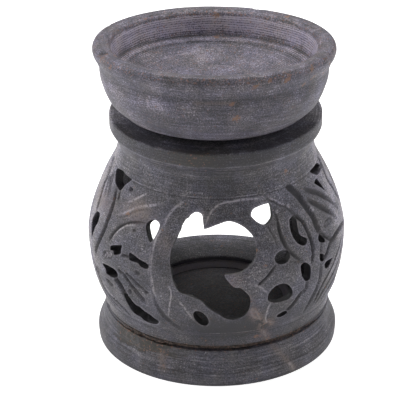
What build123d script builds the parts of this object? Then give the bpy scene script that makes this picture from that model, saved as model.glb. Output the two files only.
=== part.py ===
"""Essential oil burner turned from grey soapstone.

A foot, a pierced pot cemented on it, and a loose dish that sits in the pot's mouth.
Millimetres, +Z up. The origin is at the centre of the foot's flat underside,
and the carved front opening faces -Y, with the tea light doorway at the back.
"""
from build123d import *
from math import cos, radians, sin, sqrt
import os

os.makedirs("parts", exist_ok=True)

# Foot: widest radius, the edge that faces the pot's lip, and the tea light's recess
FOOT_RADIUS = 37.7
FOOT_HEIGHT = 11.3
RECESS_RADIUS = 22.4
RECESS_DEPTH = 1.5

# Cement bed between foot and pot, set back from both edges
CEMENT_HEIGHT = 1.5
CEMENT_SETBACK = 1.3
CEMENT_INNER_SETBACK = 2.6

# Pot: lip, belly, neck and collar
LIP_RADIUS = 35.2
BELLY_RADIUS = 40.0
NECK_RADIUS = 29.9
COLLAR_RADIUS = 32.5
BELLY_RISE = 23.2
NECK_RISE = 30.4
UNDERCUT_HEIGHT = 5.6
COLLAR_HEIGHT = 3.6
COLLAR_CHAMFER = 0.4
WALL = 4.7
POT_FLOOR = 1.7
POT_HOLE_RADIUS = 22.7
CHAMBER_FLOOR_RADIUS = 29.8
THROAT_RADIUS = 20.0
THROAT_LENGTH = 7.0

# Carved band between the two scribed lines round the pot
BAND_BOTTOM_RISE = 4.1
BAND_HEIGHT = 44.1
SCRIBE_WIDTH = 0.7
SCRIBE_DEPTH = 0.35

# Doorway at the back: an arch that starts level with the pot's floor
DOOR_HALF_WIDTH = 23.0
DOOR_SPRING_RISE = 7.5

# Seat of the dish: a shallow ball seat in the collar's top
BALL_RADIUS = 60.0
SEAT_RADIUS = 23.1
SEAT_GAP = 0.2

# Dish, measured down from its rim plane
DISH_HEIGHT = 26.6
DISH_FLAT_RADIUS = 14.0
HEEL_RADIUS = 27.0
BOWL_RADIUS = 34.6
BEAD_RADIUS = 36.6
BEAD_HEIGHT = 7.0
RIM_INNER_RADIUS = 32.6
RIM_ROUND = 0.8
COVE_RADIUS = 29.8
COVE_DEPTH = 7.0
COVE_LEDGE = 1.2
FLOOR_STEP = 0.9
FLOOR_DEPTH = 14.5

# The loose dish lies tipped in its seat, in degrees, towards a direction turned from +Y
DISH_TIP = 4.85
DISH_TIP_TURN = 6.0

# How far a cutting solid runs past what it cuts
OVERRUN = 5.0

# Heights that follow from the sizes above
POT_BOTTOM = FOOT_HEIGHT + CEMENT_HEIGHT
CHAMBER_FLOOR = POT_BOTTOM + POT_FLOOR
BELLY_Z = POT_BOTTOM + BELLY_RISE
NECK_Z = BELLY_Z + NECK_RISE
COLLAR_Z = NECK_Z + UNDERCUT_HEIGHT
COLLAR_TOP = COLLAR_Z + COLLAR_HEIGHT
THROAT_Z = COLLAR_TOP - THROAT_LENGTH
BAND_Z = POT_BOTTOM + BAND_BOTTOM_RISE
DOOR_SPRING_Z = CHAMBER_FLOOR + DOOR_SPRING_RISE
BALL_Z = COLLAR_TOP + sqrt((BALL_RADIUS + SEAT_GAP) ** 2 - SEAT_RADIUS**2)
RIM_DROP = sqrt(BALL_RADIUS**2 - DISH_FLAT_RADIUS**2) - DISH_HEIGHT
CUTTER_RADIUS = BELLY_RADIUS + OVERRUN

# Turned outlines: how far from the first radius to the second, and how far up
FOOT_SIDE_SHARES = [(0.9, 0.0), (1.0, 0.2), (0.94, 0.345), (0.6, 0.53), (0.3, 0.7), (0.1, 0.87), (0.0, 1.0)]
LOWER_POT_SHARES = [(0.0, 0.0), (0.073, 0.095), (0.21, 0.18), (0.49, 0.31), (0.74, 0.483), (0.93, 0.74)]
UPPER_POT_SHARES = [
    (1.0, 0.0), (0.96, 0.13), (0.865, 0.263), (0.743, 0.395), (0.589, 0.526),
    (0.401, 0.658), (0.193, 0.789), (0.074, 0.875), (0.0, 1.0),
]
UNDERCUT_SHARES = [(0.0, 0.0), (0.27, 0.4), (0.8, 0.8), (1.0, 1.0)]

# Dish outlines: share of the radius named with them, and share of the depth
HEEL_SHARES = [(0.841, 0.756), (0.905, 0.677), (0.945, 0.583), (0.971, 0.489), (0.991, 0.395)]
BEAD_SHARES = [(0.45, 0.72), (0.82, 0.54), (1.0, 0.3), (0.85, 0.13), (0.45, 0.02)]

# Front opening, as degrees round the pot from -Y and shares of the carved band's height.
# Its three edges run from the notch's point to the tab's tip, to the tab's root and back.
UPPER_EDGE_SHARES = [
    (-6.1, 0.821), (0.0, 0.844), (6.1, 0.857), (12.2, 0.821), (16.7, 0.753),
    (17.8, 0.662), (15.6, 0.574), (10.6, 0.522), (3.6, 0.512),
]
TAB_EDGE_SHARES = [(3.6, 0.512), (5.6, 0.444), (9.5, 0.413)]
LOWER_EDGE_SHARES = [
    (9.5, 0.413), (12.8, 0.388), (14.8, 0.29), (12.8, 0.193), (7.8, 0.152), (1.1, 0.177),
    (-3.6, 0.249), (-7.4, 0.315), (-13.0, 0.351), (-16.9, 0.372), (-19.7, 0.469), (-21.2, 0.63),
    (-18.9, 0.744), (-15.8, 0.85), (-10.2, 0.912), (-7.6, 0.898), (-6.1, 0.821),
]

# Closed free-form holes in the same terms
FREE_HOLE_SHARES = {
    "drop": [(17.4, 0.898), (20.0, 0.932), (27.0, 0.946), (29.0, 0.9), (26.5, 0.828), (20.6, 0.841)],
    "lens": [(-30.2, 0.84), (-27.2, 0.79), (-29.4, 0.698), (-33.5, 0.74), (-34.6, 0.81)],
    "bean": [
        (39.4, 0.81), (42.1, 0.79), (42.0, 0.72), (43.2, 0.67), (45.8, 0.63),
        (44.6, 0.594), (41.1, 0.614), (38.3, 0.69), (36.9, 0.76),
    ],
    "channel": [
        (-49.6, 0.28), (-43.6, 0.21), (-36.5, 0.135), (-28.3, 0.07),
        (-34.7, 0.023), (-40.2, 0.05), (-44.7, 0.145),
    ],
    "left_corner": [(-72.0, 0.986), (-63.0, 1.0), (-55.0, 0.99), (-58.9, 0.923), (-64.5, 0.91)],
    "right_corner": [(66.7, 0.984), (74.5, 0.982), (83.0, 0.95), (75.5, 0.935)],
    "right_leaf": [(65.0, 0.914), (70.5, 0.918), (72.4, 0.826), (67.5, 0.865)],
}

# Oval holes: degrees round, height share, half width and half height as shares of the
# belly radius, and slant in degrees. The corner's radius is a share of the narrow side
OVAL_ROUND_SHARE = 0.48
OVAL_HOLE_SHARES = [
    (30.0, 0.572, 0.068, 0.053, 0.0),
    (28.2, 0.313, 0.098, 0.076, 0.0),
    (42.9, 0.404, 0.056, 0.09, 12.0),
    (31.1, 0.116, 0.047, 0.024, 5.0),
    (55.0, 0.58, 0.04, 0.036, 0.0),
    (54.2, 0.449, 0.033, 0.04, 10.0),
    (60.5, 0.358, 0.064, 0.027, -10.0),
    (78.0, 0.138, 0.09, 0.045, -25.0),
    (-37.0, 0.535, 0.104, 0.027, -14.0),
    (-50.9, 0.542, 0.057, 0.044, 20.0),
    (-55.8, 0.349, 0.108, 0.043, 6.0),
    (-74.8, 0.578, 0.062, 0.095, -12.0),
    (-7.4, 0.163, 0.078, 0.047, -57.0),
    (-98.0, 0.76, 0.05, 0.1, 12.0),
    (-101.0, 0.3, 0.09, 0.05, 25.0),
    (-122.0, 0.57, 0.06, 0.095, -12.0),
    (100.0, 0.62, 0.05, 0.1, -12.0),
    (104.0, 0.3, 0.09, 0.05, -25.0),
    (124.0, 0.6, 0.06, 0.095, 12.0),
]


def between(start, end, share):
    """Value a share of the way from start to end."""
    return start + share * (end - start)


def lower_pot_points(inset=0.0):
    """Outline from the lip up to just under the belly, moved inwards by an inset."""
    return [
        (between(LIP_RADIUS, BELLY_RADIUS, out) - inset, POT_BOTTOM + up * BELLY_RISE)
        for out, up in LOWER_POT_SHARES
    ]


def upper_pot_points(inset=0.0):
    """Outline from the belly up to the neck, moved inwards by an inset."""
    return [
        (between(NECK_RADIUS, BELLY_RADIUS, out) - inset, BELLY_Z + up * NECK_RISE)
        for out, up in UPPER_POT_SHARES
    ]


def pot_radius(height):
    """Outer radius of the pot at a height, read along its outline."""
    points = lower_pot_points() + upper_pot_points()
    for (r0, z0), (r1, z1) in zip(points, points[1:]):
        if z0 <= height <= z1:
            return between(r0, r1, (height - z0) / (z1 - z0))
    return NECK_RADIUS


def turned(edges):
    """Solid of revolution about Z from edges that close an outline of (radius, height)."""
    return revolve(Plane.XZ * make_face(edges), Axis.Z)


def ring(inner, outer, bottom, top):
    """Flat ring about Z."""
    return turned(Polyline((inner, bottom), (outer, bottom), (outer, top), (inner, top), (inner, bottom)))


def disc(radius, bottom, top):
    """Disc about Z."""
    return Pos(0, 0, bottom) * extrude(Circle(radius), top - bottom)


def make_base():
    """Turned foot with the shallow recess that holds the tea light."""
    side = [(between(LIP_RADIUS, FOOT_RADIUS, out), up * FOOT_HEIGHT) for out, up in FOOT_SIDE_SHARES]
    body = turned(
        [
            Polyline((0, FOOT_HEIGHT), (0, 0), side[0]),
            Spline(*side),
            Line(side[-1], (0, FOOT_HEIGHT)),
        ]
    )
    return body - disc(RECESS_RADIUS, FOOT_HEIGHT - RECESS_DEPTH, FOOT_HEIGHT + OVERRUN)


def make_cement():
    """Cement bed that shows as a rough dark line between foot and pot."""
    inner = POT_HOLE_RADIUS + CEMENT_INNER_SETBACK
    return ring(inner, LIP_RADIUS - CEMENT_SETBACK, FOOT_HEIGHT, POT_BOTTOM)


def pot_blank():
    """Outside of the pot, solid, up to the collar's flat top."""
    undercut = [
        (between(NECK_RADIUS, COLLAR_RADIUS, out), between(NECK_Z, COLLAR_Z, up)) for out, up in UNDERCUT_SHARES
    ]
    side = lower_pot_points() + upper_pot_points()
    collar_edge = (COLLAR_RADIUS, COLLAR_TOP - COLLAR_CHAMFER)
    return turned(
        [
            Line((0, POT_BOTTOM), side[0]),
            Spline(*side),
            Spline(*undercut),
            Polyline(undercut[-1], collar_edge, (COLLAR_RADIUS - COLLAR_CHAMFER, COLLAR_TOP), (0, COLLAR_TOP)),
            Line((0, COLLAR_TOP), (0, POT_BOTTOM)),
        ]
    )


def chamber():
    """Hollow of the pot: chamber, throat and the opening in its floor."""
    floor_edge = (CHAMBER_FLOOR_RADIUS, CHAMBER_FLOOR)
    wall = [point for point in lower_pot_points(WALL) if point[0] > CHAMBER_FLOOR_RADIUS + WALL / 2]
    wall += [point for point in upper_pot_points(WALL) if point[1] < THROAT_Z - THROAT_LENGTH]
    throat = (THROAT_RADIUS, THROAT_Z)
    hollow = turned(
        [
            Line((0, CHAMBER_FLOOR), floor_edge),
            Spline(floor_edge, *wall, throat),
            Polyline(throat, (THROAT_RADIUS, COLLAR_TOP + OVERRUN), (0, COLLAR_TOP + OVERRUN)),
            Line((0, COLLAR_TOP + OVERRUN), (0, CHAMBER_FLOOR)),
        ]
    )
    return hollow + disc(POT_HOLE_RADIUS, POT_BOTTOM - OVERRUN, CHAMBER_FLOOR + OVERRUN)


def ball_seat():
    """Ball that hollows the collar's top to carry the dish."""
    return Pos(0, 0, BALL_Z) * Sphere(BALL_RADIUS + SEAT_GAP)


def doorway():
    """Arch through the back wall, level with the pot's floor, for the tea light."""
    crown = DOOR_SPRING_Z + DOOR_HALF_WIDTH
    left = (-DOOR_HALF_WIDTH, DOOR_SPRING_Z)
    right = (DOOR_HALF_WIDTH, DOOR_SPRING_Z)
    arch = make_face(
        [
            Polyline(left, (-DOOR_HALF_WIDTH, CHAMBER_FLOOR), (DOOR_HALF_WIDTH, CHAMBER_FLOOR), right),
            ThreePointArc(right, (0, crown), left),
        ]
    )
    outside = Plane(origin=(0, CUTTER_RADIUS, 0), x_dir=(1, 0, 0), z_dir=(0, -1, 0))
    return outside * extrude(arch, CUTTER_RADIUS - THROAT_RADIUS)


def scribed_line(height):
    """V-shaped line turned round the pot at a height."""
    bottom = (pot_radius(height) - SCRIBE_DEPTH, height)
    upper = (pot_radius(height) + SCRIBE_DEPTH, height + SCRIBE_WIDTH)
    lower = (pot_radius(height) + SCRIBE_DEPTH, height - SCRIBE_WIDTH)
    return turned(Polyline(bottom, lower, upper, bottom))


def wall_plane(azimuth):
    """Upright plane outside the pot, square to the direction an azimuth from -Y."""
    turn = radians(azimuth)
    outward = (sin(turn), -cos(turn), 0)
    origin = tuple(CUTTER_RADIUS * part for part in outward)
    return Plane(origin=origin, x_dir=(cos(turn), sin(turn), 0), z_dir=outward)


def on_wall(points, azimuth):
    """Places on the pot's surface, seen square on from an azimuth."""
    placed = []
    for around, up in points:
        height = BAND_Z + up * BAND_HEIGHT
        placed.append((pot_radius(height) * sin(radians(around - azimuth)), height))
    return placed


def drill(face, azimuth):
    """Cutter that runs square into the wall at an azimuth, and stops in the chamber."""
    return wall_plane(azimuth) * extrude(face, THROAT_RADIUS / 2 - CUTTER_RADIUS)


def front_opening():
    """The large curled opening, with its notch and tab."""
    middle = (UPPER_EDGE_SHARES[5][0] + LOWER_EDGE_SHARES[11][0]) / 2
    outline = [
        Spline(*on_wall(UPPER_EDGE_SHARES, middle)),
        Spline(*on_wall(TAB_EDGE_SHARES, middle)),
        Spline(*on_wall(LOWER_EDGE_SHARES, middle)),
    ]
    return drill(make_face(outline), middle)


def free_hole(points):
    """Hole with a closed curved outline."""
    middle = sum(point[0] for point in points) / len(points)
    return drill(make_face(Spline(*on_wall(points, middle), periodic=True)), middle)


def oval_hole(azimuth, up, half_width, half_height, slant):
    """Hole with rounded ends, turned by its slant."""
    (middle,) = on_wall([(azimuth, up)], azimuth)
    width = 2 * half_width * BELLY_RADIUS
    height = 2 * half_height * BELLY_RADIUS
    oval = RectangleRounded(width, height, OVAL_ROUND_SHARE * min(width, height))
    return drill(Pos(*middle) * Rot(0, 0, slant) * oval, azimuth)


def make_burner_body():
    """Pot with its collar, chamber, dish seat, doorway and pierced band."""
    pot = pot_blank() - chamber() - ball_seat()
    pot -= scribed_line(BAND_Z)
    pot -= scribed_line(BAND_Z + BAND_HEIGHT)
    pot -= doorway()
    pot -= front_opening()
    for points in FREE_HOLE_SHARES.values():
        pot -= free_hole(points)
    for hole in OVAL_HOLE_SHARES:
        pot -= oval_hole(*hole)
    return pot


def dish_point(radius, depth):
    """Place on the dish's section, with the centre of the ball seat as its origin."""
    return (radius, -RIM_DROP - depth)


def ball_point(radius):
    """Place on the ball-shaped underside at a radius."""
    return (radius, -sqrt(BALL_RADIUS**2 - radius**2))


def make_oil_dish():
    """Loose dish with a beaded rim, a coved floor and a ball-shaped underside, tipped in its seat."""
    flat = ball_point(DISH_FLAT_RADIUS)
    heel = ball_point(HEEL_RADIUS)
    neck = dish_point(BOWL_RADIUS, BEAD_HEIGHT)
    side = [dish_point(out * BOWL_RADIUS, down * DISH_HEIGHT) for out, down in HEEL_SHARES]
    bead = [
        dish_point(between(BOWL_RADIUS, BEAD_RADIUS, out), down * BEAD_HEIGHT) for out, down in BEAD_SHARES
    ]
    crest = dish_point(between(RIM_INNER_RADIUS, BEAD_RADIUS, 1 / 2), 0)
    inner_edge = dish_point(RIM_INNER_RADIUS, RIM_ROUND)
    cove = dish_point(COVE_RADIUS, COVE_DEPTH)
    ledge = dish_point(COVE_RADIUS - COVE_LEDGE, COVE_DEPTH + COVE_LEDGE)
    floor_edge = dish_point(COVE_RADIUS - 2 * COVE_LEDGE, COVE_DEPTH + COVE_LEDGE + FLOOR_STEP)
    floor = dish_point(0, FLOOR_DEPTH)
    bowl = turned(
        [
            Line((0, flat[1]), flat),
            ThreePointArc(flat, ball_point((DISH_FLAT_RADIUS + HEEL_RADIUS) / 2), heel),
            Spline(heel, *side, neck),
            Spline(neck, *bead, crest, inner_edge),
            Polyline(inner_edge, cove, ledge, floor_edge),
            TangentArc(floor, floor_edge, tangent=(1, 0)),
            Line(floor, (0, flat[1])),
        ]
    )
    return Pos(0, 0, BALL_Z) * Rot(0, 0, -DISH_TIP_TURN) * Rot(-DISH_TIP, 0, 0) * bowl


def main():
    parts = {
        "base": make_base(),
        "joint_cement": make_cement(),
        "burner_body": make_burner_body(),
        "oil_dish": make_oil_dish(),
    }
    for name, shape in parts.items():
        export_step(shape, f"parts/{name}.step")


main()
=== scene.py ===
"""Looks of a turned and pierced soapstone oil burner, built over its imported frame.

Lengths inside the classes are millimetres, because the object is small; every mesh, light
and camera is written in metres. Azimuths are degrees round the object from its front, -Y,
and grow towards +X. Heights of the carving are shares of the carved band's height.
"""
from __future__ import annotations

import logging
import math
from dataclasses import dataclass, field
from enum import Enum

import bpy
import numpy as np
from mathutils import Euler, Matrix, Vector

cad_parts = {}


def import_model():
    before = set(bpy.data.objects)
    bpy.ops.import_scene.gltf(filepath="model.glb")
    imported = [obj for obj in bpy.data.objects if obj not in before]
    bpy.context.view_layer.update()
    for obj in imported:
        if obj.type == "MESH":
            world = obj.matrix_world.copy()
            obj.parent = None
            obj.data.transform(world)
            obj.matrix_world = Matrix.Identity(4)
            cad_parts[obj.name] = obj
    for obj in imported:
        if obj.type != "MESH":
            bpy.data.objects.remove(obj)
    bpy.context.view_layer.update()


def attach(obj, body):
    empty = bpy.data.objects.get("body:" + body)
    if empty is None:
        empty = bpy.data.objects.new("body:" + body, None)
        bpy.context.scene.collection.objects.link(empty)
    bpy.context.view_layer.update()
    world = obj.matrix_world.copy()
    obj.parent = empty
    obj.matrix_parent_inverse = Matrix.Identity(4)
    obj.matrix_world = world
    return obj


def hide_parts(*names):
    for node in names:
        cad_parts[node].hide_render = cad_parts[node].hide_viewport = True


log = logging.getLogger("oil_burner")

MM = 0.001
PER_MM = (1 / MM,) * 3

Array = np.ndarray
Points = list[tuple[float, float]]
Colour = tuple[float, float, float, float]
Socket = bpy.types.NodeSocket


class Body(str, Enum):
    """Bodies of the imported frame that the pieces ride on."""

    STAND = "stand"
    DISH = "dish"


class Tone(Enum):
    """How a carved line looks: a cut darkened with painted shade, a soft one with weaker painted shade, or a
    pale line with stone dust in it.
    """

    DARK = "dark"
    PALE = "pale"
    SOFT = "soft"


# Curves and fields


def between(start: float | Array, end: float | Array, share: float | Array) -> float | Array:
    """Value a share of the way from start to end."""
    return start + share * (end - start)


def eased(values: Array, low: float, high: float) -> Array:
    """Smooth step: 0 below low, 1 above high, and a cubic between them."""
    share = np.clip((values - low) / (high - low), 0.0, 1.0)
    return share * share * (3.0 - 2.0 * share)


def bump_at(values: Array, middle: float, reach: float) -> Array:
    """Bell of height 1 at the middle, which falls to about a third at the reach."""
    return np.exp(-(((values - middle) / reach) ** 2))


def fading(distance: Array, reach: float) -> Array:
    """Bell of height 1 at no distance."""
    return bump_at(distance, 0.0, reach)


def signed(azimuth: Array) -> Array:
    """Azimuth from -180 to 180 degrees."""
    return (azimuth + 180.0) % 360.0 - 180.0


def around(azimuth: Array, radius: Array) -> tuple[Array, Array]:
    """X and Y of places at azimuths and radii."""
    turn = np.radians(azimuth)
    return radius * np.sin(turn), -radius * np.cos(turn)


def curve_through(points: Points, steps: int = 8, closed: bool = False) -> Array:
    """Smooth curve through points: cubic pieces whose tangents are half the chord of the neighbours.

    Args:
        points: Places that the curve passes through.
        steps: Samples on each piece.
        closed: Whether the last point joins the first.

    Returns:
        Array of shape (samples, 2).
    """
    given = np.asarray(points, dtype=float)
    if closed:
        padded = np.vstack([given[-1], given, given[0], given[1]])
    else:
        padded = np.vstack([2 * given[0] - given[1], given, 2 * given[-1] - given[-2]])
    share = np.arange(steps)[:, None] / steps
    pieces = []
    for before, start, end, after in zip(padded, padded[1:], padded[2:], padded[3:]):
        leave = (end - before) / 2
        arrive = (after - start) / 2
        square, cube = share**2, share**3
        pieces.append(
            (2 * cube - 3 * square + 1) * start
            + (cube - 2 * square + share) * leave
            + (3 * square - 2 * cube) * end
            + (cube - square) * arrive
        )
    if not closed:
        pieces.append(given[-1:])
    return np.vstack(pieces)


def spaced(points: Array, count: int) -> Array:
    """Points at equal steps of length along a polyline, both ends included.

    Args:
        points: Polyline of shape (n, 2).
        count: How many points to return.

    Returns:
        Array of shape (count, 2).
    """
    length = np.concatenate([[0.0], np.cumsum(np.hypot(*np.diff(points, axis=0).T))])
    at = np.linspace(0.0, length[-1], count)
    return np.stack([np.interp(at, length, points[:, 0]), np.interp(at, length, points[:, 1])], axis=1)


def straight(start: tuple, end: tuple, count: int) -> Array:
    """Points at equal steps from one place to another, both included."""
    return spaced(np.array([start, end]), count)


def rounded_corner(before: Array, corner: Array, after: Array, size: float, steps: int = 4) -> Array:
    """Corner eased by a quadratic curve that starts and ends a given length from it.

    Args:
        before: Point before the corner.
        corner: The corner itself.
        after: Point after it.
        size: Length taken off each side.
        steps: Samples on the curve.

    Returns:
        Array of shape (steps + 1, 2).
    """
    before, corner, after = (np.asarray(place, dtype=float) for place in (before, corner, after))
    start = corner + (before - corner) * size / np.hypot(*(before - corner))
    end = corner + (after - corner) * size / np.hypot(*(after - corner))
    share = np.linspace(0.0, 1.0, steps + 1)[:, None]
    return (1 - share) ** 2 * start + 2 * share * (1 - share) * corner + share**2 * end


def path_distance(azimuth: Array, height: Array, radius: Array, path: Array) -> tuple[Array, Array]:
    """Distance over a turned wall from many places to a path on it.

    Near a place the wall is taken as flat: its width is the azimuth times the wall's radius
    there. The distance to each straight run of the path is the length to the nearest of its
    points, and the least over the runs is kept.

    Args:
        azimuth: Azimuths of the places, in degrees.
        height: Heights of the places, in mm.
        radius: Wall radius at each place, in mm.
        path: Polyline of (azimuth, height).

    Returns:
        Least distance in mm, and the share of the path's runs at which it lies.
    """
    scale = np.radians(radius)
    best = np.full(azimuth.shape, 1e9)
    along = np.zeros(azimuth.shape)
    runs = len(path) - 1
    for index, ((a0, z0), (a1, z1)) in enumerate(zip(path, path[1:])):
        run_x = (a1 - a0) * scale
        run_z = z1 - z0
        to_x = (azimuth - a0) * scale
        to_z = height - z0
        part = np.clip((to_x * run_x + to_z * run_z) / (run_x**2 + run_z**2 + 1e-12), 0.0, 1.0)
        distance = np.hypot(to_x - part * run_x, to_z - part * run_z)
        nearer = distance < best
        best = np.where(nearer, distance, best)
        along = np.where(nearer, (index + part) / runs, along)
    return best, along


def stroke_bells(azimuth: Array, height: Array, radius: Array, strokes: tuple, run: Array) -> Array:
    """Highest of the bells round short strokes on a turned wall.

    Args:
        azimuth: Azimuths of the places, in degrees.
        height: Heights of the places, in mm.
        radius: Wall radius at each place, in mm.
        strokes: Start of each stroke as azimuth and height, and the reach of its bell.
        run: Azimuth and height from the start to the end of every stroke.

    Returns:
        Values from 0 to 1.
    """
    bells = []
    for *start, reach in strokes:
        path = np.array([start, np.add(start, run)])
        bells.append(fading(path_distance(azimuth, height, radius, path)[0], reach))
    return np.max(bells, axis=0)


def patches(azimuth: Array, height: Array, table: tuple) -> Array:
    """Sum of soft patches on a turned wall, each a strength times a bell of azimuth and one of height.

    Args:
        azimuth: Azimuths of the places, in degrees.
        height: Heights of the places, in mm.
        table: Strength, azimuth and its reach, height and its reach of each patch.

    Returns:
        Values at the places.
    """
    return sum(
        strength * bump_at(azimuth, middle, reach) * bump_at(height, level, rise)
        for strength, middle, reach, level, rise in table
    )


@dataclass(frozen=True)
class Roughness:
    """Seeded value noise: random values on a lattice, blended smoothly between its nodes."""

    cell: float
    seed: int
    lattice: int = 32
    shift: float = 1000.0

    def at(self, x: Array, y: Array, z: Array | float) -> Array:
        """Noise at places.

        Args:
            x: Places along X, in mm.
            y: Places along Y, in mm.
            z: Places along Z, in mm.

        Returns:
            Values from -1 to 1.
        """
        values = np.random.default_rng(self.seed).uniform(-1.0, 1.0, (self.lattice,) * 3)
        place = np.stack(np.broadcast_arrays(x, y, z)) / self.cell + self.shift
        whole = np.floor(place).astype(int)
        part = place - whole
        part = part * part * (3.0 - 2.0 * part)
        total = np.zeros(place.shape[1:])
        for corner in np.ndindex(2, 2, 2):
            node = (whole + np.reshape(corner, (3,) + (1,) * (place.ndim - 1))) % self.lattice
            weight = np.ones(place.shape[1:])
            for axis, side in enumerate(corner):
                weight = weight * (part[axis] if side else 1.0 - part[axis])
            total += weight * values[node[0], node[1], node[2]]
        return total


# Meshes


def mesh_piece(name: str, vertices: Array, face_sets: list[Array]) -> bpy.types.Object:
    """Mesh object at the origin from vertices in mm and arrays of faces.

    Args:
        name: Name of the piece.
        vertices: Array of shape (n, 3), in mm.
        face_sets: Arrays of vertex numbers, each of one polygon size.

    Returns:
        The new object.
    """
    mesh = bpy.data.meshes.new(name)
    mesh.vertices.add(len(vertices))
    mesh.vertices.foreach_set("co", (vertices * MM).astype(np.float32).ravel())
    corners = np.concatenate([faces.ravel() for faces in face_sets])
    sizes = np.concatenate([np.full(len(faces), faces.shape[1]) for faces in face_sets])
    mesh.loops.add(len(corners))
    mesh.loops.foreach_set("vertex_index", corners.astype(np.int32))
    mesh.polygons.add(len(sizes))
    mesh.polygons.foreach_set("loop_start", (np.cumsum(sizes) - sizes).astype(np.int32))
    mesh.update(calc_edges=True)
    mesh.validate()
    piece = bpy.data.objects.new(name, mesh)
    bpy.context.scene.collection.objects.link(piece)
    return piece


def vertex_places(piece: bpy.types.Object) -> Array:
    """Vertices of a piece, in mm, as an array of shape (n, 3)."""
    flat = np.empty(len(piece.data.vertices) * 3, dtype=np.float32)
    piece.data.vertices.foreach_get("co", flat)
    return flat.reshape(-1, 3).astype(float) / MM


def turned_places(piece: bpy.types.Object) -> tuple[Array, ...]:
    """X, Y, Z, radius and azimuth of a piece's vertices, in mm and degrees."""
    x, y, z = vertex_places(piece).T
    return x, y, z, np.hypot(x, y), np.degrees(np.arctan2(x, -y))


def paint(piece: bpy.types.Object, **masks: Array) -> None:
    """Stores masks from 0 to 1 on a piece's vertices, each under its own name."""
    for name, values in masks.items():
        layer = piece.data.attributes.new(name, "FLOAT", "POINT")
        layer.data.foreach_set("value", np.clip(values, 0.0, 1.0).astype(np.float32).ravel())


def prism(rings: list[Array]) -> tuple[Array, list[Array]]:
    """Closed shape through rings of equally many places, with a flat face at both ends.

    Args:
        rings: Arrays of shape (places, 3), in mm, from the outer end to the inner one.

    Returns:
        Vertices in mm and their faces.
    """
    count = len(rings[0])
    base = np.arange(count)
    beside = (base + 1) % count
    last = (len(rings) - 1) * count
    sides = [
        np.stack([start + base, start + count + base, start + count + beside, start + beside], axis=1)
        for start in range(0, last, count)
    ]
    return np.vstack(rings), [np.vstack(sides), base[None, :], (last + base)[None, ::-1]]


def smooth_with_edges(piece: bpy.types.Object, angle: float = 38.0) -> None:
    """Smooth shading that keeps edges sharper than an angle, in degrees."""
    piece.data.shade_smooth()
    piece.data.set_sharp_from_angle(angle=math.radians(angle))


@dataclass
class Turning:
    """A shape turned about Z: an outline (radius, height) carried round a set of azimuths.

    The outline runs up the outside. Where it is closed it joins end to start; otherwise its
    first and last points lie on the axis and become poles.
    """

    outline: Array
    columns: int
    closed: bool
    front_density: float = 0.0

    def azimuths(self) -> Array:
        """Azimuths in degrees: an even turn less a sine, so columns crowd at the front."""
        turn = 2 * np.pi * np.arange(self.columns) / self.columns
        return np.degrees(turn - self.front_density * np.sin(turn))

    def normals(self) -> Array:
        """Outward directions (radial, up) along the outline, square to its neighbours' chord."""
        if self.closed:
            chord = np.roll(self.outline, -1, axis=0) - np.roll(self.outline, 1, axis=0)
        else:
            chord = np.gradient(self.outline, axis=0)
        normal = np.stack([chord[:, 1], -chord[:, 0]], axis=1)
        return normal / (np.hypot(*normal.T)[:, None] + 1e-12)

    def grid(self) -> tuple[Array, ...]:
        """X, Y, azimuth, radius and height at every place, each of shape (rows, columns)."""
        azimuth = np.broadcast_to(self.azimuths(), (len(self.outline), self.columns))
        radius = np.broadcast_to(self.outline[:, :1], azimuth.shape)
        height = np.broadcast_to(self.outline[:, 1:], azimuth.shape)
        return *around(azimuth, radius), azimuth, radius, height

    def build(self, name: str, offset: Array | float = 0.0) -> bpy.types.Object:
        """Mesh of the shape, each place moved along its outward direction.

        Args:
            name: Name of the piece.
            offset: Moves in mm, of shape (rows, columns) or one for all.

        Returns:
            The new object.
        """
        _, _, azimuth, radius, height = self.grid()
        normal = self.normals()
        radius = radius + offset * normal[:, :1]
        height = height + offset * normal[:, 1:]
        places = np.stack([*around(azimuth, radius), height], axis=-1)
        rows = len(self.outline)
        if self.closed:
            return mesh_piece(name, places.reshape(-1, 3), [self.quads(rows, wrap=True)])
        body = places[1:-1].reshape(-1, 3)
        poles = np.array([[0.0, 0.0, self.outline[0, 1]], [0.0, 0.0, self.outline[-1, 1]]])
        faces = [self.quads(rows - 2, wrap=False), self.fans(len(body))]
        return mesh_piece(name, np.vstack([body, poles]), faces)

    def quads(self, rows: int, wrap: bool) -> Array:
        """Four-sided faces between rows, with the columns joined round.

        Args:
            rows: How many rows there are.
            wrap: Whether the last row joins the first.

        Returns:
            Vertex numbers of shape (faces, 4).
        """
        row = np.arange(rows if wrap else rows - 1)[:, None]
        column = np.arange(self.columns)[None, :]
        above = (row + 1) % rows
        beside = (column + 1) % self.columns
        corners = [row * self.columns + column, row * self.columns + beside]
        corners += [above * self.columns + beside, above * self.columns + column]
        return np.stack(np.broadcast_arrays(*corners), axis=-1).reshape(-1, 4)

    def fans(self, count: int) -> Array:
        """Triangles that close both ends on the two poles stored after the grid's vertices.

        Args:
            count: How many vertices the grid has.

        Returns:
            Vertex numbers of shape (faces, 3).
        """
        column = np.arange(self.columns)
        beside = (column + 1) % self.columns
        last = count - self.columns
        lower = np.stack([np.full_like(column, count), beside, column], axis=1)
        upper = np.stack([last + column, last + beside, np.full_like(column, count + 1)], axis=1)
        return np.vstack([lower, upper])


# Shader groups and materials


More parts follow.
